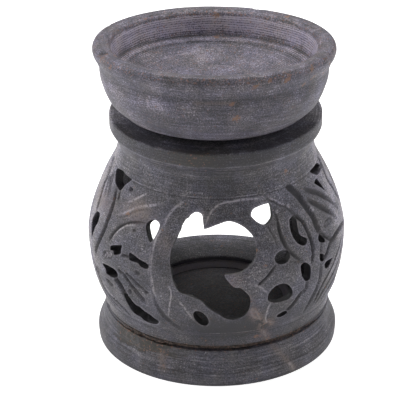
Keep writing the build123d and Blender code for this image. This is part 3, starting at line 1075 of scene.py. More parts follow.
# Carved lines of the front: points, half width, depth, and the look and taper where they differ.
LEFT_LINES = (
    (((-88, 1), (-86.1, 0.97), (-82.7, 0.937), (-80.2, 0.894), (-79.6, 0.85), (-78.6, 0.804), (-77, 0.756),
      (-76.5, 0.7), (-76.3, 0.654)), 0.7, 1.0, DARK, 0.08),
    (((-87.5, 0.99), (-84.2, 0.955), (-81, 0.905)), 1.15, 1.0),
    (((-89, 0.68), (-87, 0.631), (-86, 0.589), (-84.9, 0.552), (-83.5, 0.5)), 0.45, 0.5),
    (((-64.2, 0.91), (-62.6, 0.853), (-61.6, 0.819), (-61.1, 0.777), (-61.2, 0.732), (-61.8, 0.679),
      (-62.2, 0.639), (-63.4, 0.585), (-64.8, 0.528), (-66.8, 0.465), (-68.6, 0.412),
      (-69.4, 0.365)), 0.8, 1.05, DARK, 0.1),
    (((-60.2, 0.905), (-59, 0.872), (-58.4, 0.84)), 0.4, 0.45),
    (((-77.6, 0.91), (-76.3, 0.881), (-74.4, 0.836), (-71.8, 0.79)), 0.48, 0.45),
    (((-75.8, 0.94), (-74.5, 0.901), (-71.6, 0.852), (-68.8, 0.806)), 0.48, 0.5),
    (((-74.4, 0.955), (-72.6, 0.918), (-70.3, 0.874), (-67.5, 0.83)), 0.42, 0.45),
    (((-51.4, 0.862), (-46.7, 0.903), (-42.8, 0.941), (-40.2, 0.965)), 0.28, 0.12, PALE),
    (((-54.5, 0.762), (-48.7, 0.816), (-44.8, 0.856), (-40.7, 0.881), (-36.6, 0.899),
      (-31, 0.925)), 0.34, 0.14, PALE),
    (((-54, 0.748), (-48.3, 0.79), (-44.4, 0.83), (-40.4, 0.857), (-36, 0.874)), 0.4, 0.25, SOFT),
    (((-56.8, 0.57), (-56.2, 0.592), (-55.2, 0.626), (-53.3, 0.667), (-51, 0.704), (-48.1, 0.733),
      (-44.8, 0.76), (-39.8, 0.781), (-34.2, 0.79)), 0.48, 0.6),
    (((-55.3, 0.605), (-52.9, 0.649), (-49.3, 0.703), (-46.2, 0.735), (-41, 0.758)), 0.22, 0.08, PALE),
    (((-42, 0.719), (-41.6, 0.719)), 0.5, 0.5, DARK, 0.0),
    (((-59.6, 0.45), (-56.2, 0.468), (-53.2, 0.486)), 1.25, 0.6),
    (((-59, 0.438), (-58, 0.474)), 0.24, 0.0, PALE, 0.0),
    (((-57.3, 0.446), (-56.3, 0.484)), 0.24, 0.0, PALE, 0.0),
    (((-55.6, 0.456), (-54.6, 0.496)), 0.24, 0.0, PALE, 0.0),
    (((-46.4, 0.525), (-42, 0.535)), 0.6, 0.6),
    (((-75, 0.2), (-72.7, 0.23), (-69.6, 0.27), (-67.5, 0.275), (-67.5, 0.25), (-70.2, 0.23)), 0.3, 0.35),
    (((-59.4, 0.25), (-58, 0.247), (-56.4, 0.245), (-54.1, 0.238)), 0.65, 0.75),
    (((-51.6, 0.335), (-50.2, 0.305), (-48, 0.275), (-46.5, 0.24), (-44.7, 0.201),
      (-43.5, 0.18)), 1.15, 1.7, DARK, 0.03),
    (((-48.6, 0.41), (-47.6, 0.398), (-44.9, 0.386), (-42.8, 0.358), (-40.9, 0.328), (-38.9, 0.297),
      (-36.2, 0.261), (-34.2, 0.229)), 0.52, 0.7),
    (((-40, 0.315), (-36.8, 0.268), (-33.8, 0.224)), 0.95, 0.8, SOFT),
    (((-44, 0.41), (-43.1, 0.403), (-40.6, 0.389), (-38.4, 0.368), (-35.8, 0.345),
      (-32.8, 0.322)), 0.42, 0.5),
    (((-42.2, 0.274), (-42, 0.262)), 0.75, 0.6, DARK, 0.0),
    (((-32.7, 0.314), (-32.3, 0.312)), 0.6, 0.5, DARK, 0.0),
    (((-37.3, 0.445), (-36.3, 0.443)), 0.8, 0.45, SOFT, 0.0),
    (((-52.4, 0.946), (-51.8, 0.944)), 0.62, 0.9, DARK, 0.0),
    (((-66.5, 0.095), (-62.9, 0.05), (-58.7, 0.015)), 0.5, 0.6),
    (((-60.6, 0.118), (-56.1, 0.103), (-52.6, 0.085), (-49.2, 0.056), (-46, 0.02)), 0.42, 0.55),
    (((-57.5, 0.142), (-55.4, 0.123), (-52.3, 0.095), (-49.7, 0.076), (-47.8, 0.043)), 0.36, 0.5),
    (((-64, 0.2), (-61.2, 0.158), (-57.4, 0.129), (-53.4, 0.101)), 0.26, 0.0, PALE),
    (((-63.5, 0.15), (-59.6, 0.08), (-55.5, 0.05), (-52.5, 0.02)), 0.38, 0.5),
    (((-17.3, 0.966), (-21, 0.936), (-23.5, 0.901), (-25.3, 0.858), (-26.5, 0.803)), 0.3, 0.25, PALE),
    (((-26.5, 0.803), (-28.8, 0.733), (-30.1, 0.663), (-30.4, 0.563), (-30.3, 0.463), (-29.5, 0.423),
      (-28.9, 0.343), (-27.4, 0.25)), 0.34, 0.3, PALE),
    (((-28.6, 0.36), (-27.7, 0.231), (-25.9, 0.182), (-24.2, 0.137), (-22, 0.108), (-20.3, 0.082),
      (-16.5, 0.045)), 1.0, 0.45, SOFT),
    (((-21.6, 0.412), (-20.3, 0.352), (-21.5, 0.243), (-22.6, 0.144)), 0.2, 0.08, PALE),
    (((-16.9, 0.302), (-14.2, 0.239), (-10.8, 0.151)), 0.2, 0.08, PALE),
    (((-84, 0.44), (-79, 0.36), (-73, 0.28), (-67, 0.18), (-63, 0.1)), 0.5, 0.55),
    (((-90, 0.4), (-84, 0.28), (-77, 0.18), (-70, 0.06)), 0.45, 0.5),
)

RIGHT_LINES = (
    (((41.3, 1), (42.5, 0.992), (44.6, 0.967), (46.3, 0.936), (47.9, 0.904), (48.9, 0.86), (50.6, 0.811),
      (51.9, 0.768), (52.7, 0.722), (53.1, 0.69), (53.7, 0.65), (54.6, 0.615)), 1.15, 1.0, DARK, 0.08),
    (((53.3, 0.932), (54.6, 0.922), (56.6, 0.905), (60, 0.88), (63.4, 0.852), (66.6, 0.817), (69.2, 0.782),
      (72.7, 0.735), (78.3, 0.65)), 0.82, 0.85, DARK, 0.3),
    (((52.8, 0.86), (54.5, 0.845), (56.4, 0.821), (58.7, 0.795), (61.6, 0.76), (64.9, 0.723), (68.5, 0.68),
      (72.4, 0.62)), 0.82, 0.85, DARK, 0.25),
    (((85.5, 1), (83.8, 0.978), (83.4, 0.942), (81.7, 0.901), (80.4, 0.848), (81.7, 0.791), (83.4, 0.727),
      (88, 0.634)), 0.6, 0.8),
    (((86, 0.99), (84.4, 0.955), (82.6, 0.915)), 1.1, 0.9),
    (((91, 0.96), (88, 0.93), (85.3, 0.89), (84.8, 0.847), (85.6, 0.772)), 0.3, 0.0, PALE),
    (((97, 0.93), (92, 0.87), (90, 0.8), (91, 0.72)), 0.45, 0.5),
    (((58.6, 0.655), (60.2, 0.668), (63.5, 0.67), (66.2, 0.659), (66.3, 0.645), (63.2, 0.64), (59.5, 0.645),
      (58.6, 0.655)), 0.28, 0.35, DARK, 0.0),
    (((27, 0.965), (28.1, 0.957), (31.2, 0.929), (33.9, 0.903), (37.1, 0.88), (38.8, 0.852),
      (40.2, 0.83)), 0.32, 0.35),
    (((28, 0.97), (31.4, 0.943), (34.2, 0.917), (37.8, 0.892)), 0.2, 0.0, PALE),
    (((38.8, 0.852), (41.1, 0.813), (44.1, 0.77), (45.2, 0.734), (46.1, 0.688), (46.8, 0.648),
      (47.3, 0.607), (47.5, 0.563), (47.1, 0.521), (46.2, 0.481), (45.6, 0.455)), 0.62, 0.8),
    (((30.2, 0.865), (30.6, 0.822), (30.5, 0.783), (30.6, 0.743), (31.1, 0.706), (31.8, 0.668), (33, 0.627),
      (34.6, 0.589), (36.7, 0.553), (39.4, 0.513), (41.1, 0.493)), 0.68, 0.7, DARK, 0.3),
    (((24.6, 0.814), (25.8, 0.765), (27.4, 0.707), (28.2, 0.65)), 0.4, 0.25, SOFT),
    (((43, 0.34), (43.4, 0.293), (42.7, 0.266), (40.5, 0.24)), 0.85, 0.6, SOFT),
    (((41.8, 0.275), (40.6, 0.258), (38.9, 0.241), (36.5, 0.192), (34.4, 0.161), (32.6, 0.143)), 0.7, 0.85),
    (((52, 0.43), (52.4, 0.345), (52.3, 0.296), (51.2, 0.247), (50.1, 0.204), (47.3, 0.13),
      (45, 0.065)), 1.0, 0.5, SOFT),
    (((54, 0.63), (54.8, 0.618), (57.2, 0.587), (59.9, 0.555), (62.8, 0.53)), 0.6, 0.85),
    (((91, 0.485), (82.1, 0.511), (74.2, 0.531), (67.9, 0.531), (63.9, 0.525), (60.4, 0.51), (57.9, 0.481),
      (56, 0.447), (55, 0.436)), 0.8, 0.95, DARK, 0.08),
    (((53.9, 0.558), (52.9, 0.52), (52.3, 0.489)), 0.6, 0.45, SOFT, 0.0),
    (((73.5, 0.45), (70.3, 0.406), (66.9, 0.365), (63.9, 0.322), (59.7, 0.285), (56.2, 0.242),
      (53.8, 0.197), (52.7, 0.156), (51, 0.095)), 0.52, 0.8),
    (((79, 0.43), (75.7, 0.375), (73.8, 0.323), (70, 0.273), (65.7, 0.239), (61.4, 0.203), (57.7, 0.168),
      (56, 0.132), (53.5, 0.075)), 0.52, 0.8),
    (((85, 0.35), (80, 0.25), (76.2, 0.2), (70, 0.172), (64, 0.14), (58.5, 0.08)), 0.5, 0.65),
    (((75.5, 0.43), (72, 0.385), (68.5, 0.345), (64.6, 0.3), (60.8, 0.262), (57.2, 0.222)), 0.2, 0.0, PALE),
    (((33.7, 0.535), (37, 0.513), (40.5, 0.488)), 0.24, 0.2),
    (((17.3, 0.416), (19.6, 0.44), (21.6, 0.465), (24, 0.5), (26, 0.535)), 0.42, 0.5),
    (((13, 0.435), (17.4, 0.415), (19.3, 0.39), (21.2, 0.357), (22.5, 0.333)), 0.24, 0.1, PALE),
    (((23.9, 0.252), (22.9, 0.214), (22.4, 0.167), (22.3, 0.122), (23.5, 0.078)), 0.26, 0.12, PALE),
    (((-5.7, 0.834), (-4.7, 0.871), (-3.2, 0.91), (-0.7, 0.944), (3.1, 0.966), (8.5, 0.975), (15.6, 0.979),
      (22, 0.972), (27, 0.965)), 0.24, 0.2, PALE),
    (((39, 0.881), (39.3, 0.88)), 0.42, 0.0, PALE, 0.0),
    (((31.5, 0.872), (31.8, 0.871)), 0.38, 0.0, PALE, 0.0),
    (((53.3, 0.805), (54, 0.788)), 0.34, 0.0, PALE, 0.0),
)

# Carved lines of the sides, which the left side mirrors.
SIDE_LINES = (
    ((108, 1), (112, 0.8), (110, 0.6), (113, 0.4), (111, 0.2), (114, 0)),
    ((99, 0.52), (97, 0.44), (101, 0.4), (106, 0.42)),
    ((119, 0.96), (126, 0.86), (134, 0.8), (144, 0.78)),
    ((180, 0.8), (165, 0.76), (152, 0.66), (143, 0.5), (138, 0.3), (136, 0.04)),
    ((118, 0.4), (124, 0.3), (128, 0.16), (129, 0.04)),
    ((150, 0.92), (160, 0.9), (170, 0.93)),
    ((94, 0.26), (98, 0.18), (104, 0.1), (109, 0.04)),
    ((118, 0.82), (117, 0.74), (121, 0.7), (127, 0.71)),
)


def carved_lines() -> list[CarvedLine]:
    """Every carved line: those of the left and right front, and a pair for each line of the sides."""
    pairs = [
        CarvedLine(tuple((side * azimuth, share) for azimuth, share in shares), 0.55, 0.65)
        for shares in SIDE_LINES
        for side in (-1.0, 1.0)
    ]
    return [*(CarvedLine(*line) for line in LEFT_LINES + RIGHT_LINES), *pairs]


@dataclass(frozen=True)
class Opening:
    """A hole through the wall.

    Its outline is a closed run of (azimuth, height share). It is cut along the aim, an azimuth
    in degrees, or else along its own middle, and falls inwards by its slope, in mm down for
    each mm in. Its edge is worn by a depth in mm. Sharp lists the points that stay corners.
    """

    shares: tuple
    aim: float | None = None
    slope: float = 0.2
    worn: float = 0.25
    sharp: tuple = ()


FRONT_OPENING = Opening(
    (
        (-6.1, 0.812), (-3, 0.826), (0, 0.841), (6.1, 0.86), (12.2, 0.825), (16.7, 0.757), (17.8, 0.666),
        (15.6, 0.579), (10.6, 0.527), (7, 0.518), (3.1, 0.516), (3.3, 0.5), (4.3, 0.475), (6.1, 0.438),
        (7.5, 0.42), (9.7, 0.417), (12.2, 0.376), (13.8, 0.339), (14.4, 0.29), (13.3, 0.21), (10.7, 0.171),
        (7, 0.156), (3.3, 0.172), (0.7, 0.204), (-3.6, 0.253), (-7.4, 0.318), (-13, 0.354), (-16.9, 0.376),
        (-19.7, 0.473), (-21.2, 0.634), (-18.9, 0.748), (-15.8, 0.854), (-12.6, 0.899), (-10.2, 0.914),
        (-7.6, 0.901), (-6.9, 0.864),
    ),
    aim=-2.0,
    slope=0.42,
    sharp=(0, 10, 15),
)

# The other free-form openings: points, aim, and the slope where it differs.
FREE_OPENINGS = (
    (((17.4, 0.884), (18.9, 0.916), (22.8, 0.929), (26.7, 0.933), (28.9, 0.926), (29, 0.88), (28.3, 0.842),
      (26.1, 0.817), (23.9, 0.807), (20.6, 0.831), (18.3, 0.861)), 8.0, 0.44),
    (((-31.4, 0.826), (-29.4, 0.818), (-28.5, 0.797), (-29, 0.756), (-30.6, 0.7), (-31.9, 0.68),
      (-33.8, 0.71), (-35.7, 0.765), (-35.4, 0.797), (-33.6, 0.819)), -19.0, 0.44),
    (((37.4, 0.798), (36.7, 0.761), (36.7, 0.715), (37.4, 0.677), (38.8, 0.639), (40.7, 0.614),
      (42.9, 0.601), (44.6, 0.616), (44.8, 0.642), (43, 0.662), (41.2, 0.686), (41, 0.719), (41.2, 0.753),
      (41.4, 0.785), (40, 0.812)), 20.0),
    (((-46.2, 0.225), (-42.6, 0.205), (-39.9, 0.172), (-37.5, 0.166), (-35.5, 0.145), (-33, 0.129),
      (-29.8, 0.098), (-28.3, 0.08), (-28.9, 0.058), (-30.8, 0.039), (-34.7, 0.034), (-37.3, 0.046),
      (-38.7, 0.066), (-41.4, 0.072), (-43.6, 0.092), (-44.9, 0.135), (-46.4, 0.2)), -18.0),
    (((-73.1, 0.985), (-70.9, 0.947), (-68.2, 0.921), (-65.2, 0.908), (-61.6, 0.899), (-59.3, 0.908),
      (-57.8, 0.949), (-56.3, 0.97), (-54.4, 1), (-58.2, 1.004), (-60.8, 1.006), (-66, 1.01)), -30.0, 0.4),
    (((64.9, 0.993), (69.5, 0.996), (78, 0.986), (81, 0.957), (83.1, 0.93), (72.2, 0.934),
      (68.2, 0.959)), 50.0),
    (((68.2, 0.928), (69, 0.912), (70, 0.876), (70.8, 0.831), (67.9, 0.869), (65.3, 0.9), (64.1, 0.918),
      (65.8, 0.928)), 45.0),
    (((-76.2, 0.653), (-73, 0.672), (-71.1, 0.675), (-70.4, 0.65), (-71, 0.6), (-72.4, 0.572),
      (-73.6, 0.514), (-75.2, 0.468), (-77, 0.505), (-79, 0.575)), -50.0),
    (((-61.4, 0.362), (-58, 0.379), (-54.4, 0.387), (-51.1, 0.386), (-49.2, 0.37), (-49.6, 0.345),
      (-52.3, 0.313), (-55.8, 0.302), (-58.9, 0.305), (-58.8, 0.333)), -30.0),
    (((-55, 0.54), (-52.6, 0.562), (-48, 0.588), (-47.3, 0.579), (-47.6, 0.557), (-47.6, 0.528),
      (-51.5, 0.497), (-52.7, 0.518), (-54.6, 0.514)), -28.0),
    (((-42.4, 0.555), (-41.3, 0.568), (-38.7, 0.559), (-36.1, 0.546), (-33.8, 0.541), (-31.5, 0.529),
      (-31.1, 0.509), (-32.4, 0.493), (-35, 0.497), (-36.9, 0.514), (-39.1, 0.513), (-41.6, 0.516)), -20.0),
    (((22.4, 0.292), (22.7, 0.332), (24.4, 0.366), (26.7, 0.386), (29.6, 0.387), (32.2, 0.365),
      (34.4, 0.321), (34.9, 0.277), (33.3, 0.248), (31.1, 0.241), (28.6, 0.24), (25.2, 0.251),
      (22.9, 0.273)), 10.0, 0.3),
    (((27.8, 0.121), (29.7, 0.141), (32.3, 0.146), (33.6, 0.124), (31.9, 0.107), (29.7, 0.103)), 18.0),
    (((38.9, 0.47), (40.3, 0.486), (42.2, 0.483), (44.7, 0.445), (45.4, 0.385), (44.8, 0.338),
      (42.3, 0.337), (39.8, 0.395)), 22.0),
    (((52.9, 0.617), (54.7, 0.612), (56.4, 0.581), (56.7, 0.548), (53.9, 0.558), (52.1, 0.585)), 32.0),
    (((51.7, 0.485), (53.4, 0.483), (55.1, 0.453), (54.4, 0.418), (52, 0.433), (51.2, 0.467)), 32.0),
    (((55.4, 0.387), (57.7, 0.397), (62.5, 0.385), (61.5, 0.364), (59, 0.336), (56.4, 0.347)), 50.0),
)


@dataclass(frozen=True)
class OvalOpening:
    """An oval hole: where it is, its half sizes in mm, its slant in degrees and its aim."""

    azimuth: float
    share: float
    half_width: float
    half_height: float
    slant: float = 0.0
    aim: float | None = None

    def outline(self, wall_radius: float, band_height: float) -> tuple:
        """Outline: an ellipse turned by the slant and laid on the wall.

        Args:
            wall_radius: Wall radius at the opening, in mm.
            band_height: Height of the carved band, in mm.

        Returns:
            Run of (azimuth, height share).
        """
        turn = np.linspace(0.0, 2 * np.pi, 12, endpoint=False)
        lean = math.radians(self.slant)
        across, up = self.half_width * np.cos(turn), self.half_height * np.sin(turn)
        side = across * math.cos(lean) - up * math.sin(lean)
        rise = across * math.sin(lean) + up * math.cos(lean)
        azimuth = self.azimuth + np.degrees(side / wall_radius)
        return tuple(zip(azimuth, self.share + rise / band_height))


# Oval openings: azimuth, share, half sizes, and the slant and aim where they differ.
OVAL_OPENINGS = (
    (30.0, 0.576, 2.7, 2.1, 0.0, 12.0),
    (78.0, 0.142, 3.6, 1.8, -25.0),
    (-7.4, 0.168, 3.1, 1.9, -57.0),
    (-98.0, 0.76, 2.0, 4.0, 12.0),
    (-101.0, 0.3, 3.6, 2.0, 25.0),
    (-122.0, 0.57, 2.4, 3.8, -12.0),
    (100.0, 0.62, 2.0, 4.0, -12.0),
    (104.0, 0.3, 3.6, 2.0, -25.0),
    (124.0, 0.6, 2.4, 3.8, 12.0),
)


@dataclass
class Pot:
    """Hollow pot with its collar, ball seat, doorway and carved, pierced band."""

    bottom: float = 12.8
    lip_radius: float = 35.2
    belly_radius: float = 40.0
    belly_rise: float = 23.2
    neck_radius: float = 29.9
    neck_rise: float = 30.4
    undercut: float = 5.6
    collar_radius: float = 32.5
    collar_height: float = 3.6
    collar_worn: float = 0.55
    worn: float = 0.4
    wall: float = 4.7
    floor: float = 1.7
    hole_radius: float = 22.7
    hole_edge: float = 0.4
    chamber_radius: float = 29.8
    throat_radius: float = 20.0
    throat_length: float = 7.0
    seat_radius: float = 23.1
    ball_radius: float = 60.2
    band_rise: float = 4.1
    band_height: float = 44.1
    door_half_width: float = 23.0
    door_spring: float = 7.5
    columns: int = 460
    crowding: float = 0.45
    band_rows: int = 122
    lower_shares: tuple = (
        (0.0, 0.0), (0.073, 0.095), (0.21, 0.18), (0.49, 0.31), (0.74, 0.483), (0.93, 0.74),
    )
    upper_shares: tuple = (
        (1.0, 0.0), (0.96, 0.13), (0.865, 0.263), (0.743, 0.395), (0.589, 0.526),
        (0.401, 0.658), (0.193, 0.789), (0.074, 0.875), (0.0, 1.0),
    )
    undercut_shares: tuple = ((0.0, 0.0), (0.27, 0.4), (0.8, 0.8), (1.0, 1.0))
    turned_lines: tuple = ((67.4, 0.3, 0.12), (69.1, 0.35, 0.16), (70.4, 0.25, 0.1), (13.9, 0.25, 0.1))
    scribed_line: tuple = (0.3, 0.22)
    veins: tuple = (
        ((13.9, 31.0), (14.3, 27.5), (15.6, 24.6), (19.0, 22.4), (20.6, 20.4), (21.1, 18.3), (25.0, 14.2)),
        ((19.0, 22.4), (22.2, 20.6), (24.7, 20.8), (26.0, 19.6)),
        ((15.2, 27.0), (18.0, 25.2), (20.2, 21.0)),
    )
    tab: tuple = (4.6, -37.0, 37.4)
    spots: tuple = (
        (-49.0, 52.2, 0.55), (18.7, 15.3, 0.7), (42.7, 65.1, 0.7), (17.0, 46.0, 0.6), (21.0, 41.0, 0.5),
    )
    warm_patches: tuple = (
        (1.0, -43.0, 9.0, 54.0, 3.2), (0.9, -72.0, 11.0, 50.5, 2.6), (0.45, -25.0, 4.0, 47.5, 3.2),
    )
    quiet_patches: tuple = (
        (1.0, 4.0, 26.0, 66.0, 9.0), (3.6, 4.0, 26.0, 20.0, 5.0), (0.9, -24.0, 6.0, 42.0, 12.0),
        (1.3, 46.0, 12.0, 20.0, 6.0), (0.85, -47.0, 14.0, 36.0, 15.0),
    )
    wander: Roughness = Roughness(1.7, 41)
    uneven: tuple = (Roughness(7.0, 5), Roughness(2.2, 6))
    chips: Roughness = Roughness(2.6, 17)
    ragged: tuple = (Roughness(2.4, 71), Roughness(0.8, 72))
    cutter_cell: float = 1.6
    cutter_seed: int = 60

    def __post_init__(self) -> None:
        """Works out the heights, and the wall's outline that the carving is laid on."""
        self.chamber_floor = self.bottom + self.floor
        self.belly_z = self.bottom + self.belly_rise
        self.neck_z = self.belly_z + self.neck_rise
        self.collar_z = self.neck_z + self.undercut
        self.top = self.collar_z + self.collar_height
        self.band_z = self.bottom + self.band_rise
        self.throat_z = self.top - self.throat_length
        self.side = curve_through(self.side_points(0.0), 12)

    def side_points(self, inset: float) -> Points:
        """Points of the wall from lip to neck.

        Args:
            inset: How far they are moved inwards, in mm.

        Returns:
            Run of (radius, height).
        """
        lower = [
            (between(self.lip_radius, self.belly_radius, out) - inset, self.bottom + up * self.belly_rise)
            for out, up in self.lower_shares
        ]
        upper = [
            (between(self.neck_radius, self.belly_radius, out) - inset, self.belly_z + up * self.neck_rise)
            for out, up in self.upper_shares
        ]
        return lower + upper

    def wall_radius(self, height: Array) -> Array:
        """Outer radius of the wall at heights."""
        return np.interp(height, self.side[:, 1], self.side[:, 0])

    def outline(self) -> Array:
        """Closed outline: underside, lip, wall, collar, seat, throat, chamber, floor and its hole."""
        rise = self.side[:, 1]
        band_top = self.band_z + self.band_height
        hole_edge = (self.hole_radius, self.bottom)
        under = straight(hole_edge, (self.lip_radius - self.worn, self.bottom), 4)[:-1]
        lip = rounded_corner(hole_edge, self.side[0], self.side[4], self.worn, 3)
        low = spaced(self.side[(rise > self.bottom + self.worn) & (rise < self.band_z)], 9)[:-1]
        band = spaced(self.side[(rise >= self.band_z - 0.2) & (rise <= band_top + 0.4)], self.band_rows)
        neck = spaced(self.side[rise > band_top + 0.4], 12)[1:]
        flare = curve_through([
            (between(self.neck_radius, self.collar_radius, out), between(self.neck_z, self.collar_z, up))
            for out, up in self.undercut_shares
        ])
        flare = spaced(flare, 14)[1:]
        rim = (self.collar_radius, self.top)
        collar = straight(flare[-1], (self.collar_radius, self.top - self.collar_worn), 6)[1:-1]
        edge = rounded_corner(flare[-1], rim, (0.0, self.top), self.collar_worn, 4)
        shelf = straight((self.collar_radius - 0.9, self.top), (self.seat_radius + 0.3, self.top), 9)
        centre = self.top + math.sqrt(self.ball_radius**2 - self.seat_radius**2)
        seat_r = np.linspace(self.seat_radius, self.throat_radius + 0.3, 5)
        seat = np.stack([seat_r, centre - np.sqrt(self.ball_radius**2 - seat_r**2)], axis=1)
        throat = (self.throat_radius, self.throat_z)
        pipe = straight((self.throat_radius, seat[-1, 1] - 0.3), throat, 4)
        inner = self.side_points(self.wall)
        least = self.chamber_radius + self.wall / 2
        wall = [(out, up) for out, up in inner if out > least and up < self.belly_z]
        wall += [(out, up) for out, up in inner if self.belly_z <= up < self.throat_z - self.throat_length]
        chamber = curve_through([(self.chamber_radius, self.chamber_floor), *wall, throat])[::-1]
        inside = spaced(chamber, 24)[1:]
        edge_z = self.bottom + self.hole_edge
        floor_edge = (self.chamber_radius - 1.0, self.chamber_floor)
        floor = straight(floor_edge, (self.hole_radius + 0.3, edge_z), 6)
        hole = np.array([(self.hole_radius, edge_z - 0.15)])
        outside = (under, lip, low, band, neck, flare, collar, edge)
        return np.vstack([*outside, shelf, seat, pipe, inside, floor, hole])

    def outer(self, radius: Array, height: Array) -> Array:
        """Which places lie on the outside of the pot, rather than on its underside or inside."""
        near = radius > self.wall_radius(height) - 1.9
        return near & (height > self.bottom + 0.05)

    def banded(self, height: Array) -> Array:
        """1 inside the carved band, falling to 0 just past its scribed lines."""
        low = np.clip((height - self.band_z) / 0.3, 0.0, 1.0)
        high = np.clip((self.band_z + self.band_height - height) / 0.3, 0.0, 1.0)
        return low * high

    def on_wall(self, shares: tuple) -> Array:
        """(azimuth, height share) points as (azimuth, height in mm)."""
        return np.array([(azimuth, self.band_z + share * self.band_height) for azimuth, share in shares])

    def openings(self) -> list[Opening]:
        """Every opening as a closed outline."""
        free = [Opening(*row) for row in FREE_OPENINGS]
        ovals = []
        for row in OVAL_OPENINGS:
            oval = OvalOpening(*row)
            radius = float(self.wall_radius(self.band_z + oval.share * self.band_height))
            ovals.append(Opening(oval.outline(radius, self.band_height), oval.aim))
        return [FRONT_OPENING, *free, *ovals]

    def opening_path(self, opening: Opening) -> Array:
        """Smooth closed path of an opening on the wall, which keeps its sharp corners.

        Args:
            opening: The opening.

        Returns:
            Places of shape (n, 2), as azimuth and height.
        """
        points = self.on_wall(opening.shares)
        if not opening.sharp:
            return curve_through(points, 6, closed=True)
        order = list(opening.sharp) + [opening.sharp[0] + len(points)]
        looped = np.vstack([points, points])
        pieces = [curve_through(looped[start:end + 1], 6)[:-1] for start, end in zip(order, order[1:])]
        return np.vstack(pieces)

    def carving(self, azimuth: Array, radius: Array, height: Array) -> tuple[Array, Array, Array]:
        """Depth and masks of the carved lines and the openings' edges.

        A line's section is a parabola of its half width. Its ends fade over its taper. Where
        lines cross, the deeper one is kept.

        Args:
            azimuth: Azimuths of the places, in degrees.
            radius: Wall radius at the places.
            height: Heights of the places.

        Returns:
            Depth in mm, mask of painted shade in the grooves, and dust mask.
        """
        depth = np.zeros(azimuth.shape)
        shade = np.zeros(azimuth.shape)
        dust = np.zeros(azimuth.shape)
        wander = 0.12 * self.wander.at(azimuth / 1.5, height, 0.0)
        for line in carved_lines():
            path = curve_through(self.on_wall(line.shares), 5)
            near, distance, along = self._beside(azimuth, height, radius, path, 3.0)
            distance = distance + wander[near] * line.half_width
            ends = np.ones_like(along)
            if line.taper:
                ends = np.clip(np.minimum(along, 1 - along) / line.taper, 0.15, 1.0) ** 0.6
            width = line.half_width * (0.55 + 0.45 * ends)
            section = np.clip(1.0 - (distance / width) ** 2, 0.0, 1.0)
            depth[near] = np.maximum(depth[near], 1.2 * line.depth * ends * section)
            if line.tone is Tone.PALE:
                dust[near] = np.maximum(dust[near], np.clip(1.5 - distance / width, 0.0, 1.0) * ends)
            else:
                # Painted shade: the grooves are darkened, fully for dark lines and less for soft ones.
                strength = 1.0 if line.tone is Tone.DARK else 0.4
                mark = np.clip(1.0 - (distance / (width + 0.16)) ** 2, 0.0, 1.0)
                shade[near] = np.maximum(shade[near], strength * mark**0.5 * ends)
                rim = bump_at(distance, width * 1.15, 0.22)
                dust[near] = np.maximum(dust[near], 0.22 * rim * ends)
        for opening in self.openings():
            path = self.opening_path(opening)
            path = np.vstack([path, path[:1]])
            near, distance, _ = self._beside(azimuth, height, radius, path, 2.5)
            worn = np.clip(1.0 - distance / 0.8, 0.0, 1.0) ** 2
            depth[near] = np.maximum(depth[near], opening.worn * worn)
            dust[near] = np.maximum(dust[near], 0.35 * fading(distance, 0.35))
        return depth, shade, dust

    def _beside(self, azimuth: Array, height: Array, radius: Array, path: Array, margin: float) -> tuple:
        """Finds the places near a path, and their distance to it.

        Args:
            azimuth: Azimuths of the places, in degrees.
            height: Heights of the places.
            radius: Wall radius at the places.
            path: Polyline of (azimuth, height).
            margin: How far past the box round the path a place still counts, in mm.

        Returns:
            True or False at each place; distance and share of the path's runs where it is True.
        """
        turn = np.degrees(margin / self.neck_radius)
        low, high = path.min(axis=0), path.max(axis=0)
        near = (azimuth > low[0] - turn) & (azimuth < high[0] + turn)
        near &= (height > low[1] - margin) & (height < high[1] + margin)
        return near, *path_distance(azimuth[near], height[near], radius[near], path)

    def offsets(self, turning: Turning) -> Array:
        """How far each place of the turned blank is moved along its outward direction.

        Args:
            turning: The turned blank.

        Returns:
            Moves in mm, of shape (rows, columns).
        """
        x, y, azimuth, radius, height = turning.grid()
        outside = self.outer(radius, height)
        band = self.banded(height) * outside
        depth, _, _ = self.carving(signed(azimuth), radius, height)
        coarse, fine = (noise.at(x, y, height) for noise in self.uneven)
        offset = band * (0.1 * coarse + 0.05 * fine - 0.1 - depth)
        scribed = [(line, *self.scribed_line) for line in (self.band_z, self.band_z + self.band_height)]
        for line, half_width, cut in (*self.turned_lines, *scribed):
            offset -= outside * cut * bump_at(height, line, half_width)
        chips = np.clip(self.chips.at(x, y, height) - 0.5, 0.0, 1.0)
        collar_edge = (radius > self.collar_radius - 1.2) & (height > self.top - 1.2)
        lip_edge = outside & (height < self.bottom + 1.2)
        return offset - chips * (0.45 * collar_edge + 0.9 * lip_edge)

